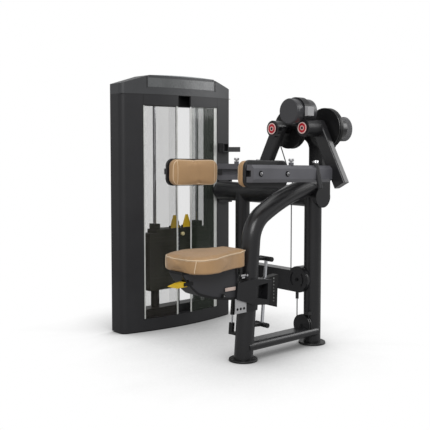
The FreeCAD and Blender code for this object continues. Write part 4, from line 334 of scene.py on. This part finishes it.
def knurled_rubber():
    """Hand grip rubber with fine rings across it, and a bright metal cap at its top."""
    finish = Finish("grip_rubber", linear(38, 38, 40), 0.62)
    rings = finish.add("ShaderNodeTexWave", wave_type="BANDS", bands_direction="Z")
    rings.inputs["Scale"].default_value = 90.0
    rings.inputs["Distortion"].default_value = 0.4
    finish.link(finish.place, rings.inputs["Vector"])
    finish.bump(rings.outputs["Fac"], 0.0003, 0.6)
    finish.bump(finish.noise(700.0, 2.0), 0.0001, 0.5)
    cap = finish.band(AXIS_Z, low=GRIP_CAP)
    finish.paint(finish.mix(cap, finish.colour, linear(222, 222, 224)))
    finish.link(cap, finish.shader.inputs["Metallic"])
    finish.rough(finish.spread(cap, 0.0, 1.0, 0.62, 0.16))
    return finish.material


def pin_finish():
    """The selector pin: brushed steel, with a pale cream ball at its outer end."""
    finish = Finish("selector_pin", linear(170, 170, 172), 0.3)
    ball = finish.band(AXIS_Y, high=PIN_BALL)
    finish.paint(finish.mix(ball, finish.colour, linear(214, 201, 152)))
    finish.rough(finish.spread(ball, 0.0, 1.0, 0.28, 0.35))
    finish.link(finish.spread(ball, 0.0, 1.0, 1.0, 0.0), finish.shader.inputs["Metallic"])
    finish.bump(finish.noise(300.0, 2.0), 0.00005, 0.5)
    return finish.material


FRAME_BLACK = linear(31, 31, 33)


def carriage_finish():
    """The carriage's coat: black rim and scale plate, and a greyer recessed face on the bracket."""
    finish = Finish("carriage_coat", FRAME_BLACK, 0.4)
    black, grey = linear(14, 14, 15), linear(58, 58, 61)
    look = finish.mottled(finish.clouds(), 0.88, 1.12)
    look = finish.mix(finish.band(AXIS_X, high=-0.104), look, black)
    scale_plate = finish.band((math.cos(0.17), 0, math.sin(0.17) * -0.4), low=0.135)
    look = finish.mix(scale_plate, look, black)
    on_bracket = finish.band(AXIS_X, high=-0.088)
    for low, high in ((-0.0458, -0.0442), (0.0442, 0.0458)):
        recess = finish.both(on_bracket, finish.band(AXIS_Y, low, high))
        look = finish.mix(recess, look, grey)
    finish.paint(look)
    finish.rough(finish.spread(finish.orange_peel(), 0.3, 0.7, 0.36, 0.5))
    return finish.material


def cap_finish():
    """The tower cap's coat, with its top face painted pale as a painted reflection of the bright sky above.
    """
    finish = Finish("tower_cap_coat", linear(70, 71, 73), 0.42)
    coat = finish.mottled(finish.clouds(), 0.9, 1.1)
    # painted reflection: above CAP_TOP the coat turns pale grey, standing in for the sky mirrored in the top
    # face
    finish.paint(finish.mix(finish.band(AXIS_Z, low=CAP_TOP), coat, linear(176, 182, 185)))
    finish.orange_peel(mirror=0.4)
    return finish.material


def near_hub_finish():
    """The near hub's coat, with bare pale metal on the clamp's bolt pad."""
    finish = Finish("near_hub_coat", FRAME_BLACK, 0.38)
    pad = finish.both(finish.band(AXIS_Y, *BOLT_PAD_Y), finish.band(AXIS_Z, *BOLT_PAD_Z))
    coat = finish.mottled(finish.clouds(), 0.88, 1.12)
    finish.paint(finish.mix(pad, coat, linear(168, 168, 170)))
    finish.orange_peel()
    return finish.material


TOWER_PAINT = powder_coat("tower_paint", linear(46, 46, 48), 0.46)
FRAME_PAINT = powder_coat("frame_paint", FRAME_BLACK, 0.3, polish=0.35)
DARK_PAINT = powder_coat("dark_paint", linear(20, 20, 21), 0.38, polish=0.15)
WEIGHT_PAINT = powder_coat("weight_paint", linear(60, 60, 63), 0.3, polish=0.3)
BAR_PAINT = powder_coat("bar_paint", linear(94, 94, 99), 0.34, polish=0.3)
BLACK_PLASTIC = moulded("black_plastic", linear(17, 17, 18), 0.45)
SHELL_PLASTIC = moulded("shell_plastic", linear(28, 28, 30), 0.42)
PULLEY_PLASTIC = moulded("pulley_plastic", linear(24, 24, 26), 0.4)
STRIP_PLASTIC = moulded("strip_plastic", linear(22, 22, 30), 0.4)
BEAD_BLUE = moulded("bead_blue", linear(26, 28, 58), 0.35)
PAD_PINK = moulded("pale_pad", linear(206, 186, 176), 0.5)
BARE_METAL = moulded("bare_metal", linear(178, 178, 180), 0.4)
YELLOW_PLASTIC = moulded("yellow_plastic", linear(228, 190, 44), 0.3)
STEEL = steel("pin_steel", linear(190, 190, 192))
BRONZE = steel("bush_bronze", linear(165, 130, 84), 0.35)
CHROME = chrome_rod()
IRON = cast_plate()
CABLE = moulded("cable_coat", linear(24, 24, 26), 0.35)
TAN = tan_leather("tan_leather", linear(186, 148, 105))
# partly painted highlight: the welts are a paler leather than the cover, and paler still to stand in for the
# light along their round ridges
PALE_WELT_AND_HIGHLIGHT = tan_leather("welt_leather_and_highlight", linear(240, 216, 182))
THREAD = moulded("seam_thread", linear(244, 226, 198), 0.7)
CLEAR = clear_sheet("clear_shield", linear(66, 62, 56), linear(58, 66, 56), 0.36)
SMOKED = clear_sheet("smoked_shield", linear(60, 60, 60), linear(60, 60, 60), 0.13, 0.2)
# painted highlight: a pale opaque finish for strips that stand in for the light caught by the clear sheets'
# edges
EDGE = moulded("painted_edge_highlight", linear(224, 226, 222), 0.25)
RED = moulded("cap_red", linear(192, 26, 40), 0.3)
RING_WHITE = moulded("ring_white", linear(240, 214, 210), 0.35)
BLACK_STEEL = steel("black_screw", linear(48, 48, 50), 0.38)
MARK = moulded("print_white", linear(214, 216, 212), 0.55)
PANEL_GLOSS = moulded("panel_gloss", linear(98, 100, 101), 0.25)

SLOT_FINISH = {
    "tower_paint": TOWER_PAINT, "frame_paint": FRAME_PAINT, "dark_paint": DARK_PAINT, "bar_paint": BAR_PAINT,
    "clear_shield": CLEAR, "smoked_shield": SMOKED, "rod_chrome": CHROME, "pin_steel": STEEL,
    "stack_iron": IRON, "foot_plastic": BLACK_PLASTIC, "pulley_plastic": PULLEY_PLASTIC,
    "strip_plastic": STRIP_PLASTIC, "shell_plastic": SHELL_PLASTIC, "yellow_plastic": YELLOW_PLASTIC,
    "grip_rubber": knurled_rubber(), "cable_coat": CABLE, "bush_bronze": BRONZE, "tan_leather": TAN,
    "gas_tube": DARK_PAINT,
}
OWN_FINISH = {
    "selector_pin": pin_finish(), "seat_carriage": carriage_finish(), "near_hub": near_hub_finish(),
    "tower_top_cap": cap_finish(), "near_shaft": DARK_PAINT, "far_shaft": DARK_PAINT,
    "axles_and_bolts": BLACK_STEEL, "near_counterweight": WEIGHT_PAINT, "far_counterweight": WEIGHT_PAINT,
}


def dress_nodes():
    """Give every carried-over node its own finish, or else the finish of its slot."""
    for entry in frame["record"]["subparts"]:
        name = entry["node"]
        finish = OWN_FINISH.get(name) or SLOT_FINISH[entry["material_slot"]]
        mesh = nodes[name].data
        mesh.materials.clear()
        mesh.materials.append(finish)


# ---------------------------------------------------------------- making pieces
def finished(name, bm, finish, body, smooth=35.0, recalc=True):
    """Turn a bmesh into a piece that rides on a body."""
    if recalc:
        bmesh.ops.recalc_face_normals(bm, faces=bm.faces)
    mesh = bpy.data.meshes.new(name)
    bm.to_mesh(mesh)
    bm.free()
    mesh.materials.append(finish)
    mesh.shade_smooth()
    mesh.set_sharp_from_angle(angle=math.radians(smooth))
    thing = bpy.data.objects.new(name, mesh)
    scene.collection.objects.link(thing)
    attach(thing, body)


def ease(bm, verts, width):
    """Round the sharp edges among some vertices."""
    chosen = set(verts)
    edges = [e for e in bm.edges if e.verts[0] in chosen and e.verts[1] in chosen
             and len(e.link_faces) == 2 and e.calc_face_angle(0.0) > math.radians(40)]
    bmesh.ops.bevel(bm, geom=edges, offset=width, segments=2, affect="EDGES", profile=0.5, material=-1)


def block(bm, low, high, edge=0.0):
    """A block between two corners, with its edges eased."""
    size = Vector(high) - Vector(low)
    made = bmesh.ops.create_cube(bm, size=1.0)["verts"]
    bmesh.ops.scale(bm, vec=size, verts=made)
    bmesh.ops.translate(bm, vec=(Vector(low) + Vector(high)) / 2, verts=made)
    if edge:
        ease(bm, made, edge)


def disc(bm, radius, depth, matrix, segments=48, edge=0.0):
    """A closed round disc or bar, centred on its own origin along Z."""
    made = bmesh.ops.create_cone(bm, cap_ends=True, segments=segments, radius1=radius, radius2=radius,
                                 depth=depth, matrix=matrix)["verts"]
    if edge:
        ease(bm, made, edge)


def facing(direction, at):
    """A matrix that points Z along a direction at a place."""
    return Matrix.Translation(Vector(at)) @ Vector(direction).to_track_quat("Z", "Y").to_matrix().to_4x4()


def plate_piece(name, low, high, edge, finish, body):
    """A piece that is one eased block."""
    bm = bmesh.new()
    block(bm, low, high, edge)
    finished(name, bm, finish, body)


def disc_piece(name, places, radius, depth, finish, body, segments=48, edge=0.0):
    """A piece made of equal discs, each at its own matrix."""
    bm = bmesh.new()
    for place in places:
        disc(bm, radius, depth, place, segments, edge)
    finished(name, bm, finish, body)


def ring_piece(name, inner, outer, low, high, matrix, finish, body):
    """A flat washer with a square section, spun about its own Z."""
    bm = bmesh.new()
    square = ((inner, low), (outer, low), (outer, high), (inner, high))
    corners = [bm.verts.new((x, 0, z)) for x, z in square]
    section = [bm.edges.new((corners[i], corners[(i + 1) % 4])) for i in range(4)]
    bmesh.ops.spin(bm, geom=corners + section, cent=(0, 0, 0), axis=(0, 0, 1), angle=math.tau,
                   steps=RING_STEPS, use_merge=True)
    bmesh.ops.transform(bm, matrix=matrix, verts=bm.verts)
    finished(name, bm, finish, body)


def final_mesh(thing):
    """The mesh that a curve or a piece with modifiers ends up as."""
    bpy.context.view_layer.update()
    return bpy.data.meshes.new_from_object(thing.evaluated_get(bpy.context.evaluated_depsgraph_get()))


def shape_of(name, curve):
    """A curve's final shape, as a bmesh."""
    holder = bpy.data.objects.new(name + "_line", curve)
    scene.collection.objects.link(holder)
    mesh = final_mesh(holder)
    bpy.data.objects.remove(holder)
    bm = bmesh.new()
    bm.from_mesh(mesh)
    bpy.data.meshes.remove(mesh)
    return bm


def number_piece(name, words, height, matrix, body):
    """Plain raised numbers, made a mesh in place."""
    curve = bpy.data.curves.new(name, "FONT")
    curve.body = words
    curve.size = height
    curve.extrude = 0.0002
    curve.align_x = "CENTER"
    curve.align_y = "CENTER"
    bm = shape_of(name, curve)
    bmesh.ops.transform(bm, matrix=matrix, verts=bm.verts)
    finished(name, bm, MARK, body, recalc=False)


def piping(name, points, radius, body, closed=True):
    """A thin round welt along a line of points, in pale leather whose paleness is partly a painted highlight
    along its ridge.
    """
    curve = bpy.data.curves.new(name, "CURVE")
    curve.dimensions = "3D"
    curve.bevel_depth = radius
    curve.bevel_resolution = 2
    curve.use_fill_caps = not closed
    spline = curve.splines.new("POLY")
    spline.points.add(len(points) - 1)
    for knot, place in zip(spline.points, points):
        knot.co = (*place, 1.0)
    spline.use_cyclic_u = closed
    bm = shape_of(name, curve)
    bmesh.ops.remove_doubles(bm, verts=bm.verts, dist=1e-6)
    finished(name, bm, PALE_WELT_AND_HIGHLIGHT, body, smooth=60)


# ---------------------------------------------------------------- upholstery
def copy_of(node):
    """A welded copy of a node's mesh."""
    bm = bmesh.new()
    bm.from_mesh(nodes[node].data)
    bmesh.ops.remove_doubles(bm, verts=bm.verts, dist=1e-5)
    return bm


def stuffed(name, bm, node, body, cap, voxel, flat, passes=4):
    """Skin a start shape evenly, draw it in a little, and swell it under its cover in the node's place."""
    mesh = bpy.data.meshes.new(name)
    bm.to_mesh(mesh)
    bm.free()
    thing = bpy.data.objects.new(name, mesh)
    scene.collection.objects.link(thing)
    remesh = thing.modifiers.new("skin", "REMESH")
    remesh.mode = "VOXEL"
    remesh.voxel_size = voxel
    bake(thing)
    bm = bmesh.new()
    bm.from_mesh(thing.data)
    keep_largest(bm)
    bm.normal_update()
    for _ in range(passes):
        bmesh.ops.smooth_vert(bm, verts=bm.verts, factor=0.5,
                              use_axis_x=True, use_axis_y=True, use_axis_z=True)
    bm.normal_update()
    for vert in bm.verts:
        vert.co -= vert.normal * COVER_INSET
    bm.to_mesh(thing.data)
    bm.free()
    swell(thing, cap, flat)
    thing.data.materials.clear()
    thing.data.materials.append(TAN)
    smooth = thing.modifiers.new("smooth", "SUBSURF")
    smooth.levels = smooth.render_levels = 1
    bake(thing)
    thing.data.shade_smooth()
    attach(thing, body)
    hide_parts(node)
    return thing


def keep_largest(bm):
    """Drop any crumbs that the even skin left beside the main body."""
    left = set(bm.verts)
    groups = []
    while left:
        first = left.pop()
        group, edge = [first], [first]
        while edge:
            near = [e.other_vert(v) for v in edge for e in v.link_edges]
            edge = [v for v in dict.fromkeys(near) if v in left]
            left.difference_update(edge)
            group.extend(edge)
        groups.append(group)
    groups.sort(key=len)
    for group in groups[:-1]:
        bmesh.ops.delete(bm, geom=group, context="VERTS")


def bake(thing):
    """Apply a piece's modifiers."""
    mesh = final_mesh(thing)
    old = thing.data
    thing.modifiers.clear()
    thing.data = mesh
    mesh.name = thing.name
    bpy.data.meshes.remove(old)


def swell(thing, cap, flat):
    """Blow the cover up a little with cloth, and hold back any point that goes too far."""
    before = [v.co.copy() for v in thing.data.vertices]
    cloth = thing.modifiers.new("cover", "CLOTH")
    settings = cloth.settings
    settings.quality = 5
    settings.mass = 0.3
    settings.tension_stiffness = 30
    settings.compression_stiffness = 30
    settings.shear_stiffness = 15
    settings.bending_stiffness = 6
    settings.use_pressure = True
    settings.uniform_pressure_force = 4.0
    settings.effector_weights.gravity = 0.0
    cloth.collision_settings.use_collision = False
    cloth.point_cache.frame_start = 1
    cloth.point_cache.frame_end = CLOTH_FRAMES
    for number in range(1, CLOTH_FRAMES + 1):
        scene.frame_set(number)
    bake(thing)
    along, limit, side = flat
    for vert, start in zip(thing.data.vertices, before):
        move = vert.co - start
        if move.length > cap:
            vert.co = start + move * (cap / move.length)
        if (vert.co[along] - limit) * side > 0:
            vert.co[along] = limit
    scene.frame_set(1)


def outline_at(thing, place, normal, keep=None):
    """The line where a plane meets a cushion, as ordered points: the closed line, or the kept points."""
    bm = bmesh.new()
    bm.from_mesh(thing.data)
    bmesh.ops.bisect_plane(bm, geom=bm.verts[:] + bm.edges[:] + bm.faces[:], plane_co=place, plane_no=normal,
                           clear_outer=True, clear_inner=True)
    bm.verts.ensure_lookup_table()
    start = bm.verts[0]
    line, seen = [start], {start}
    while True:
        onward = [e.other_vert(line[-1]) for e in line[-1].link_edges if e.other_vert(line[-1]) not in seen]
        if not onward:
            break
        seen.add(onward[0])
        line.append(onward[0])
    points = [v.co.copy() for v in line]
    bm.free()
    return evened(points, 0.005) if keep is None else [p for p in evened(points, 0.003) if keep(p)]


def evened(points, step):
    """Points at even steps along a closed line, lightly smoothed."""
    ring = points + points[:1]
    lengths = [(b - a).length for a, b in zip(ring, ring[1:])]
    total = sum(lengths)
    count = max(12, int(total / step))
    out, travelled, index = [], 0.0, 0
    for number in range(count):
        want = total * number / count
        while travelled + lengths[index] < want:
            travelled += lengths[index]
            index += 1
        share = (want - travelled) / max(lengths[index], 1e-9)
        out.append(ring[index].lerp(ring[index + 1], share))
    for _ in range(4):
        out = [(out[i - 1] + out[i] * 2 + out[(i + 1) % count]) / 4 for i in range(count)]
    return out


def onto(thing, places):
    """Lay a line of points on a cushion's skin."""
    bm = bmesh.new()
    bm.from_mesh(thing.data)
    skin = BVHTree.FromBMesh(bm)
    bm.free()
    laid = []
    for place in places:
        spot, normal, _, _ = skin.find_nearest(place)
        laid.append(spot + normal * SEAM_LIFT)
    return laid


def stitches(name, points, body, away=(0, 0, 0)):
    """A row of short thread stitches along a seam, or set a little to one side."""
    bm = bmesh.new()
    walked = 0.0
    for first, second in zip(points, points[1:]):
        walked += (second - first).length
        if walked < STITCH_GAP:
            continue
        walked = 0.0
        along = (second - first).normalized()
        middle = (first + second) / 2 + Vector(away)
        disc(bm, STITCH_RADIUS, STITCH_GAP * 0.62, facing(along, middle), segments=6)
    finished(name, bm, THREAD, body, smooth=50)


def seat_start():
    """The seat's start shape: its outline drawn up to the top edge, with a crowned top."""
    bm = bmesh.new()
    ring = [bm.verts.new((x, y, SEAT_FOOT)) for x, y in SEAT_PLAN]
    edges = [bm.edges.new((ring[i], ring[(i + 1) % len(ring)])) for i in range(len(ring))]
    foot = bmesh.ops.edgenet_fill(bm, edges=edges)["faces"]
    grown = bmesh.ops.extrude_face_region(bm, geom=foot)
    for vert in grown["geom"]:
        if isinstance(vert, bmesh.types.BMVert):
            vert.co.z = seat_rim(vert.co.x)
    uprights = [e for e in bm.edges if abs(e.verts[0].co.z - e.verts[1].co.z) > 0.04]
    bmesh.ops.bevel(bm, geom=uprights, offset=0.016, segments=4, affect="EDGES", profile=0.5, material=-1)
    for width, rise in ((0.012, 0.0035), (0.022, 0.0035)):
        crown = max((f for f in bm.faces if len(f.verts) > 8), key=lambda f: f.calc_center_median().z)
        bmesh.ops.inset_region(bm, faces=[crown], thickness=width, depth=0.0, use_even_offset=False)
        for vert in crown.verts:
            vert.co.z += rise
    bmesh.ops.recalc_face_normals(bm, faces=bm.faces)
    bmesh.ops.triangulate(bm, faces=bm.faces)
    return bm


def seat_seams(seat):
    """Piping along the seat's top edge, and a stitched seam up each back corner."""
    edge = evened([Vector((x, y, seat_rim(x) + 0.001)) for x, y in SEAT_PLAN], 0.005)
    piping("seat_top_welt", onto(seat, edge), 0.0026, "seat")
    stitches("seat_top_stitches", onto(seat, [p - Vector((0, 0, 0.0075)) for p in edge]), "seat")
    x, y = SEAT_SEAM
    for name, side in (("right", -1), ("left", 1)):
        line = []
        for step in range(SEAM_STEPS + 1):
            lean = 1 - step / SEAM_STEPS
            line.append(Vector((x - 0.014 - 0.008 * lean, side * (y + 0.014 - 0.012 * lean),
                                SEAM_FOOT + 0.0043 * step)))
        line = onto(seat, line)
        piping(f"seat_corner_seam_{name}", line, 0.0021, "seat", closed=False)
        for row, shift in (("outer", -0.0055), ("inner", 0.0055)):
            beside = onto(seat, [p + Vector((shift, -side * shift, 0)) for p in line])
            stitches(f"seat_corner_{name}_{row}_stitches", beside, "seat")


def arm_pad(prefix, side):
    """One arm pad, with the welt round its face, its stitching and a seam near each end."""
    node, body = f"{prefix}_pad_cushion", f"{prefix}_pad"
    pad = stuffed(f"{prefix}_pad_cover", copy_of(node), node, body, cap=0.006, voxel=0.0045,
                  flat=(1, side * PAD_BACK, side))
    low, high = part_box(node)
    face_y = (high.y - 0.011) if side < 0 else (low.y + 0.011)
    welt = outline_at(pad, (0, face_y, 0), AXIS_Y)
    piping(f"{prefix}_pad_welt", welt, 0.0016, body)
    stitches(f"{prefix}_pad_stitches", welt, body, away=(0, side * 0.0045, 0))
    for end, x in (("back", low.x + 0.03), ("front", high.x - 0.03)):
        seam = outline_at(pad, (x, 0, 0), AXIS_X, keep=lambda p: side * p.y < 0.15)
        seam.sort(key=lambda p: math.atan2(p.z - (low.z + high.z) / 2, -side * (p.y - side * 0.16)))
        piping(f"{prefix}_pad_{end}_seam", seam, 0.0012, body, closed=False)


def upholstery():
    """The seat and both arm pads, with their welts and stitching."""
    seat = stuffed("seat_cushion_cover", seat_start(), "seat_cushion", "seat", cap=0.005, voxel=0.005,
                   flat=(2, SEAT_FLAT, -1), passes=2)
    seat_seams(seat)
    for prefix, side in SIDES:
        arm_pad(prefix, side)


# ---------------------------------------------------------------- hard details
def hub_faces():
    """Red caps with pale rings and a dark screw on both hubs."""
    for prefix, x, y in HUBS:
        body = f"{prefix}_swing_arm"

        def spot(depth):
            return facing((-1, 0, 0), (x - depth, y, HUB_HEIGHT))

        disc_piece(f"{prefix}_cap_red", [spot(0.0008)], 0.031, 0.0016, RED, body, edge=0.0006)
        for size, inner, outer in (("outer", 0.0255, 0.0305), ("inner", 0.0085, 0.0125)):
            ring_piece(f"{prefix}_cap_{size}_ring", inner, outer, -0.0004, 0.0006, spot(0.0018),
                       RING_WHITE, body)
        disc_piece(f"{prefix}_cap_screw", [spot(0.003)], 0.0065, 0.003, BLACK_STEEL, body,
                   segments=24, edge=0.0006)


def bar_screws():
    """Two socket screws on each bar's outer face, in shallow dark washers, each with a dark hex disc of
    painted shade for its socket.
    """
    for prefix, side in SIDES:
        body = f"{prefix}_swing_arm"
        for number, x in ((1, -0.1), (2, 0.086)):
            z = BAR_START_Z - (x - BAR_START_X) * math.tan(BAR_SLOPE)

            def spot(out):
                return facing((0, side, 0), (x, side * (BAR_FACE + out), z))

            ring_piece(f"{prefix}_bar_washer_{number}", 0.0085, 0.0145, 0.0, 0.0016, spot(0.0),
                       BLACK_STEEL, body)
            disc_piece(f"{prefix}_bar_screw_{number}", [spot(0.0025)], 0.0085, 0.006, STEEL, body,
                       segments=32, edge=0.001)
            # painted shade: a dark hex disc on the screw head stands in for the shaded socket hole
            disc_piece(f"{prefix}_bar_socket_shade_{number}", [spot(0.0045)], 0.004, 0.003, BLACK_STEEL, body,
                       segments=6)


def bowed_piece(name, across, heights, setback, thickness, steps, finish):
    """A thin strip that follows the tower's bowed front."""
    left, right = across
    low, high = heights
    bm = bmesh.new()
    made = bmesh.ops.create_grid(bm, x_segments=steps, y_segments=1, size=0.5)["verts"]
    for vert in made:
        x = left + (vert.co.x + 0.5) * (right - left)
        vert.co = Vector((x, bow(x) + setback, low if vert.co.y < 0 else high))
    faces = list({f for v in made for f in v.link_faces})
    bmesh.ops.recalc_face_normals(bm, faces=faces)
    grown = bmesh.ops.extrude_face_region(bm, geom=faces)
    fresh = [v for v in grown["geom"] if isinstance(v, bmesh.types.BMVert)]
    bmesh.ops.translate(bm, vec=(0, thickness, 0), verts=fresh)
    finished(name, bm, finish, "frame")


def tower_details():
    """The bare name panel, a dark strip of painted shadow along the top seam, the dark joints round it, and
    pale strips of painted highlight along the shields' edges.
    """
    bowed_piece("top_name_panel", (-0.012, 0.505), NAME_PANEL, -0.0015, 0.003, 24, PANEL_GLOSS)
    # painted shadow: a thin black strip along the seam under the cap
    bowed_piece("top_seam_shadow", (-0.182, 0.682), (1.4295, 1.4322), -0.0003, 0.004, 48,
                BLACK_PLASTIC)
    for name, across, heights in (("left_band_joint", (-0.0435, -0.0405), BAND),
                                  ("right_band_joint", (0.5415, 0.5445), BAND),
                                  ("left_panel_groove", (-0.0198, -0.0162), PANEL_GROOVE),
                                  ("right_panel_groove", (0.5102, 0.5218), PANEL_GROOVE)):
        bowed_piece(name, across, heights, -0.0004, 0.0016, 2, BLACK_PLASTIC)
    # painted highlight: a pale strip along each shield edge
    for name, across in (("left_outer", (-0.0415, -0.030)), ("slot_left", (0.191, 0.2018)),
                         ("slot_right", (0.2992, 0.310)), ("right_outer", (0.512, 0.5425))):
        bowed_piece(f"shield_edge_highlight_{name}", across, OPENING, 0.0062, 0.0017, 4, EDGE)


def weight_numbers():
    """Plain numbers on dark beads down the strip beside the pin, one for each plate."""
    heights = [TOP_NUMBER - PLATE_PITCH * count for count in range(NUMBER_COUNT)]
    beads = [facing(TO_USER_SIDE, (STRIP_MIDDLE, STRIP_FACE + 0.0002, z)) for z in heights]
    disc_piece("plate_number_beads", beads, 0.0095, 0.0016, BEAD_BLUE, "frame", segments=32)
    for count, z in enumerate(heights, 1):
        number_piece(f"plate_number_{count}", str(count * NUMBER_STEP), 0.011,
                     facing(TO_USER_SIDE, (STRIP_MIDDLE, STRIP_FACE - 0.0006, z)), "frame")


def seat_scale():
    """Plain numbers and short marks on the seat's scale plate."""
    bm = bmesh.new()
    for count in range(9):
        z = 0.276 + 0.018 * count
        x = 0.2315 + (z - 0.252) * 0.0337
        block(bm, (x - 0.0004, -0.0115, z - 0.0009), (x + 0.0008, 0.0015, z + 0.0009))
    finished("seat_scale_marks", bm, MARK, "seat")
    for count in range(8):
        z = 0.290 + 0.0175 * count
        number_piece(f"seat_scale_number_{count + 1}", str(count + 1), 0.010,
                     facing(TO_USER_SIDE, (0.205, -0.0203, z)), "seat")


def carriage_details():
    """The latch with its bright lever, the pale pad, the bolted plate and the round knob on the bracket."""
    plate_piece("carriage_latch_case", (-0.080, -0.066, 0.448), (-0.026, -0.0605, 0.470), 0.001,
                BLACK_STEEL, "seat")
    bm = bmesh.new()
    block(bm, (-0.080, -0.070, 0.460), (-0.048, -0.066, 0.469), 0.0012)
    block(bm, (-0.072, -0.069, 0.449), (-0.052, -0.066, 0.457), 0.0012)
    disc(bm, 0.0055, 0.004, facing(TO_USER_SIDE, (-0.036, -0.068, 0.462)), segments=24, edge=0.0008)
    finished("carriage_latch", bm, BARE_METAL, "seat")
    plate_piece("bracket_plain_pad", (-0.173, -0.0525, 0.392), (-0.103, -0.0502, 0.410), 0.0008,
                PAD_PINK, "seat")
    plate_piece("carriage_hanging_plate", (-0.105, -0.0525, 0.267), (-0.027, -0.0495, 0.345), 0.0008,
                BARE_METAL, "seat")
    bolts = [facing(TO_USER_SIDE, (x, -0.0528, 0.290)) for x in (-0.090, -0.067, -0.044)]
    disc_piece("hanging_plate_bolts", bolts, 0.0068, 0.002, BLACK_STEEL, "seat",
               segments=32, edge=0.0005)
    disc_piece("bracket_knob", [facing(TO_USER_SIDE, (-0.185, -0.055, 0.372))], 0.011, 0.010,
               BLACK_PLASTIC, "seat", segments=32, edge=0.0015)
    disc_piece("bracket_knob_pin", [facing(TO_USER_SIDE, (-0.185, -0.0606, 0.372))], 0.003, 0.0015,
               STEEL, "seat", segments=16)


# ---------------------------------------------------------------- camera, light and floor
def camera():
    """The camera that was fitted to the photo."""
    data = bpy.data.cameras.new("photo_camera")
    data.sensor_width = 36.0
    data.lens = 62.8
    data.shift_y = -0.045
    data.clip_end = 100.0
    thing = bpy.data.objects.new("photo_camera", data)
    azimuth, pitch = math.radians(40.9), math.radians(-3.7)
    look = Vector((math.sin(azimuth) * math.cos(pitch), math.cos(azimuth) * math.cos(pitch), math.sin(pitch)))
    thing.rotation_euler = look.to_track_quat("-Z", "Y").to_euler()
    thing.location = (-2.65, -2.833, 1.116)
    scene.collection.objects.link(thing)
    scene.camera = thing


WHITE = (1, 1, 1, 1)
FLOOR_GREY = (0.55, 0.55, 0.55, 1)
SKY = 0.36
EXTRA_SKY_IN_MIRRORS = 0.24
FLOOR_RADIUS = 14.0
SHADOW_REACH = 0.75
PANELS = (
    # name, place, target, side of the square, power
    ("key_panel", (-3.2, -3.4, 3.6), (0.2, 0.3, 0.8), 2.6, 130.0),
    ("side_panel", (3.6, -1.6, 2.4), (0.3, 0.2, 0.8), 2.0, 45.0),
    ("top_panel", (0.2, 0.2, 4.2), (0.2, 0.2, 0.0), 2.6, 26.0),
)


def shader_node(tree, kind, values=(), **settings):
    """A shader node with its settings and its fixed inputs."""
    made = tree.nodes.new(kind)
    for key, value in settings.items():
        setattr(made, key, value)
    for key, value in dict(values).items():
        made.inputs[key].default_value = value
    return made


def by_sight(tree, out, hidden, seen):
    """Show one shader to the camera, straight or through clear sheet, and another to all other rays."""
    path = shader_node(tree, "ShaderNodeLightPath")
    either = shader_node(tree, "ShaderNodeMath", operation="MAXIMUM")
    mix = shader_node(tree, "ShaderNodeMixShader")
    tree.links.new(path.outputs["Is Camera Ray"], either.inputs[0])
    tree.links.new(path.outputs["Is Transmission Ray"], either.inputs[1])
    tree.links.new(either.outputs[0], mix.inputs[0])
    tree.links.new(hidden.outputs[0], mix.inputs[1])
    tree.links.new(seen.outputs[0], mix.inputs[2])
    tree.links.new(mix.outputs[0], out.inputs["Surface"])


def studio():
    """A white studio: soft sky, a large key panel by the camera, a side panel and a weak top panel."""
    world = bpy.data.worlds.new("studio")
    world.use_nodes = True
    tree = world.node_tree
    tree.nodes.clear()
    path = shader_node(tree, "ShaderNodeLightPath")
    strength = shader_node(tree, "ShaderNodeMath", {1: EXTRA_SKY_IN_MIRRORS, 2: SKY},
                           operation="MULTIPLY_ADD")
    fill = shader_node(tree, "ShaderNodeBackground", {"Color": WHITE})
    tree.links.new(path.outputs["Is Glossy Ray"], strength.inputs[0])
    tree.links.new(strength.outputs[0], fill.inputs["Strength"])
    white = shader_node(tree, "ShaderNodeBackground", {"Color": WHITE, "Strength": 1.0})
    by_sight(tree, shader_node(tree, "ShaderNodeOutputWorld"), fill, white)
    scene.world = world
    for name, place, target, size, power in PANELS:
        data = bpy.data.lights.new(name, "AREA")
        data.shape = "SQUARE"
        data.size = size
        data.energy = power
        lamp = bpy.data.objects.new(name, data)
        lamp.location = place
        lamp.rotation_euler = (Vector(target) - Vector(place)).to_track_quat("-Z", "Y").to_euler()
        scene.collection.objects.link(lamp)


def floor():
    """A floor that glows white to the camera, with a painted shadow from ambient occlusion close to the
    object, and that lights it as plain grey.
    """
    bm = bmesh.new()
    bmesh.ops.create_circle(bm, cap_ends=True, segments=96, radius=FLOOR_RADIUS)
    mesh = bpy.data.meshes.new("studio_floor")
    bm.to_mesh(mesh)
    bm.free()
    material = bpy.data.materials.new("studio_floor")
    material.use_nodes = True
    tree = material.node_tree
    tree.nodes.clear()
    # painted shadow: the glow the camera sees is dimmed by ambient occlusion close to the object
    shade = shader_node(tree, "ShaderNodeAmbientOcclusion", {"Distance": SHADOW_REACH}, samples=16)
    reach = shader_node(tree, "ShaderNodeMapRange", {"From Min": 0.05, "From Max": 0.93})
    soft = shader_node(tree, "ShaderNodeMath", {1: 1.65}, operation="POWER")
    pale = shader_node(tree, "ShaderNodeEmission")
    tree.links.new(shade.outputs["AO"], reach.inputs["Value"])
    tree.links.new(reach.outputs["Result"], soft.inputs[0])
    tree.links.new(soft.outputs[0], pale.inputs["Strength"])
    plain = shader_node(tree, "ShaderNodeBsdfDiffuse", {"Color": FLOOR_GREY})
    by_sight(tree, shader_node(tree, "ShaderNodeOutputMaterial"), plain, pale)
    mesh.materials.append(material)
    thing = bpy.data.objects.new("studio_floor", mesh)
    scene.collection.objects.link(thing)


camera()
dress_nodes()
upholstery()
hub_faces()
bar_screws()
tower_details()
weight_numbers()
seat_scale()
carriage_details()
studio()
floor()
scene.view_settings.view_transform = "Standard"
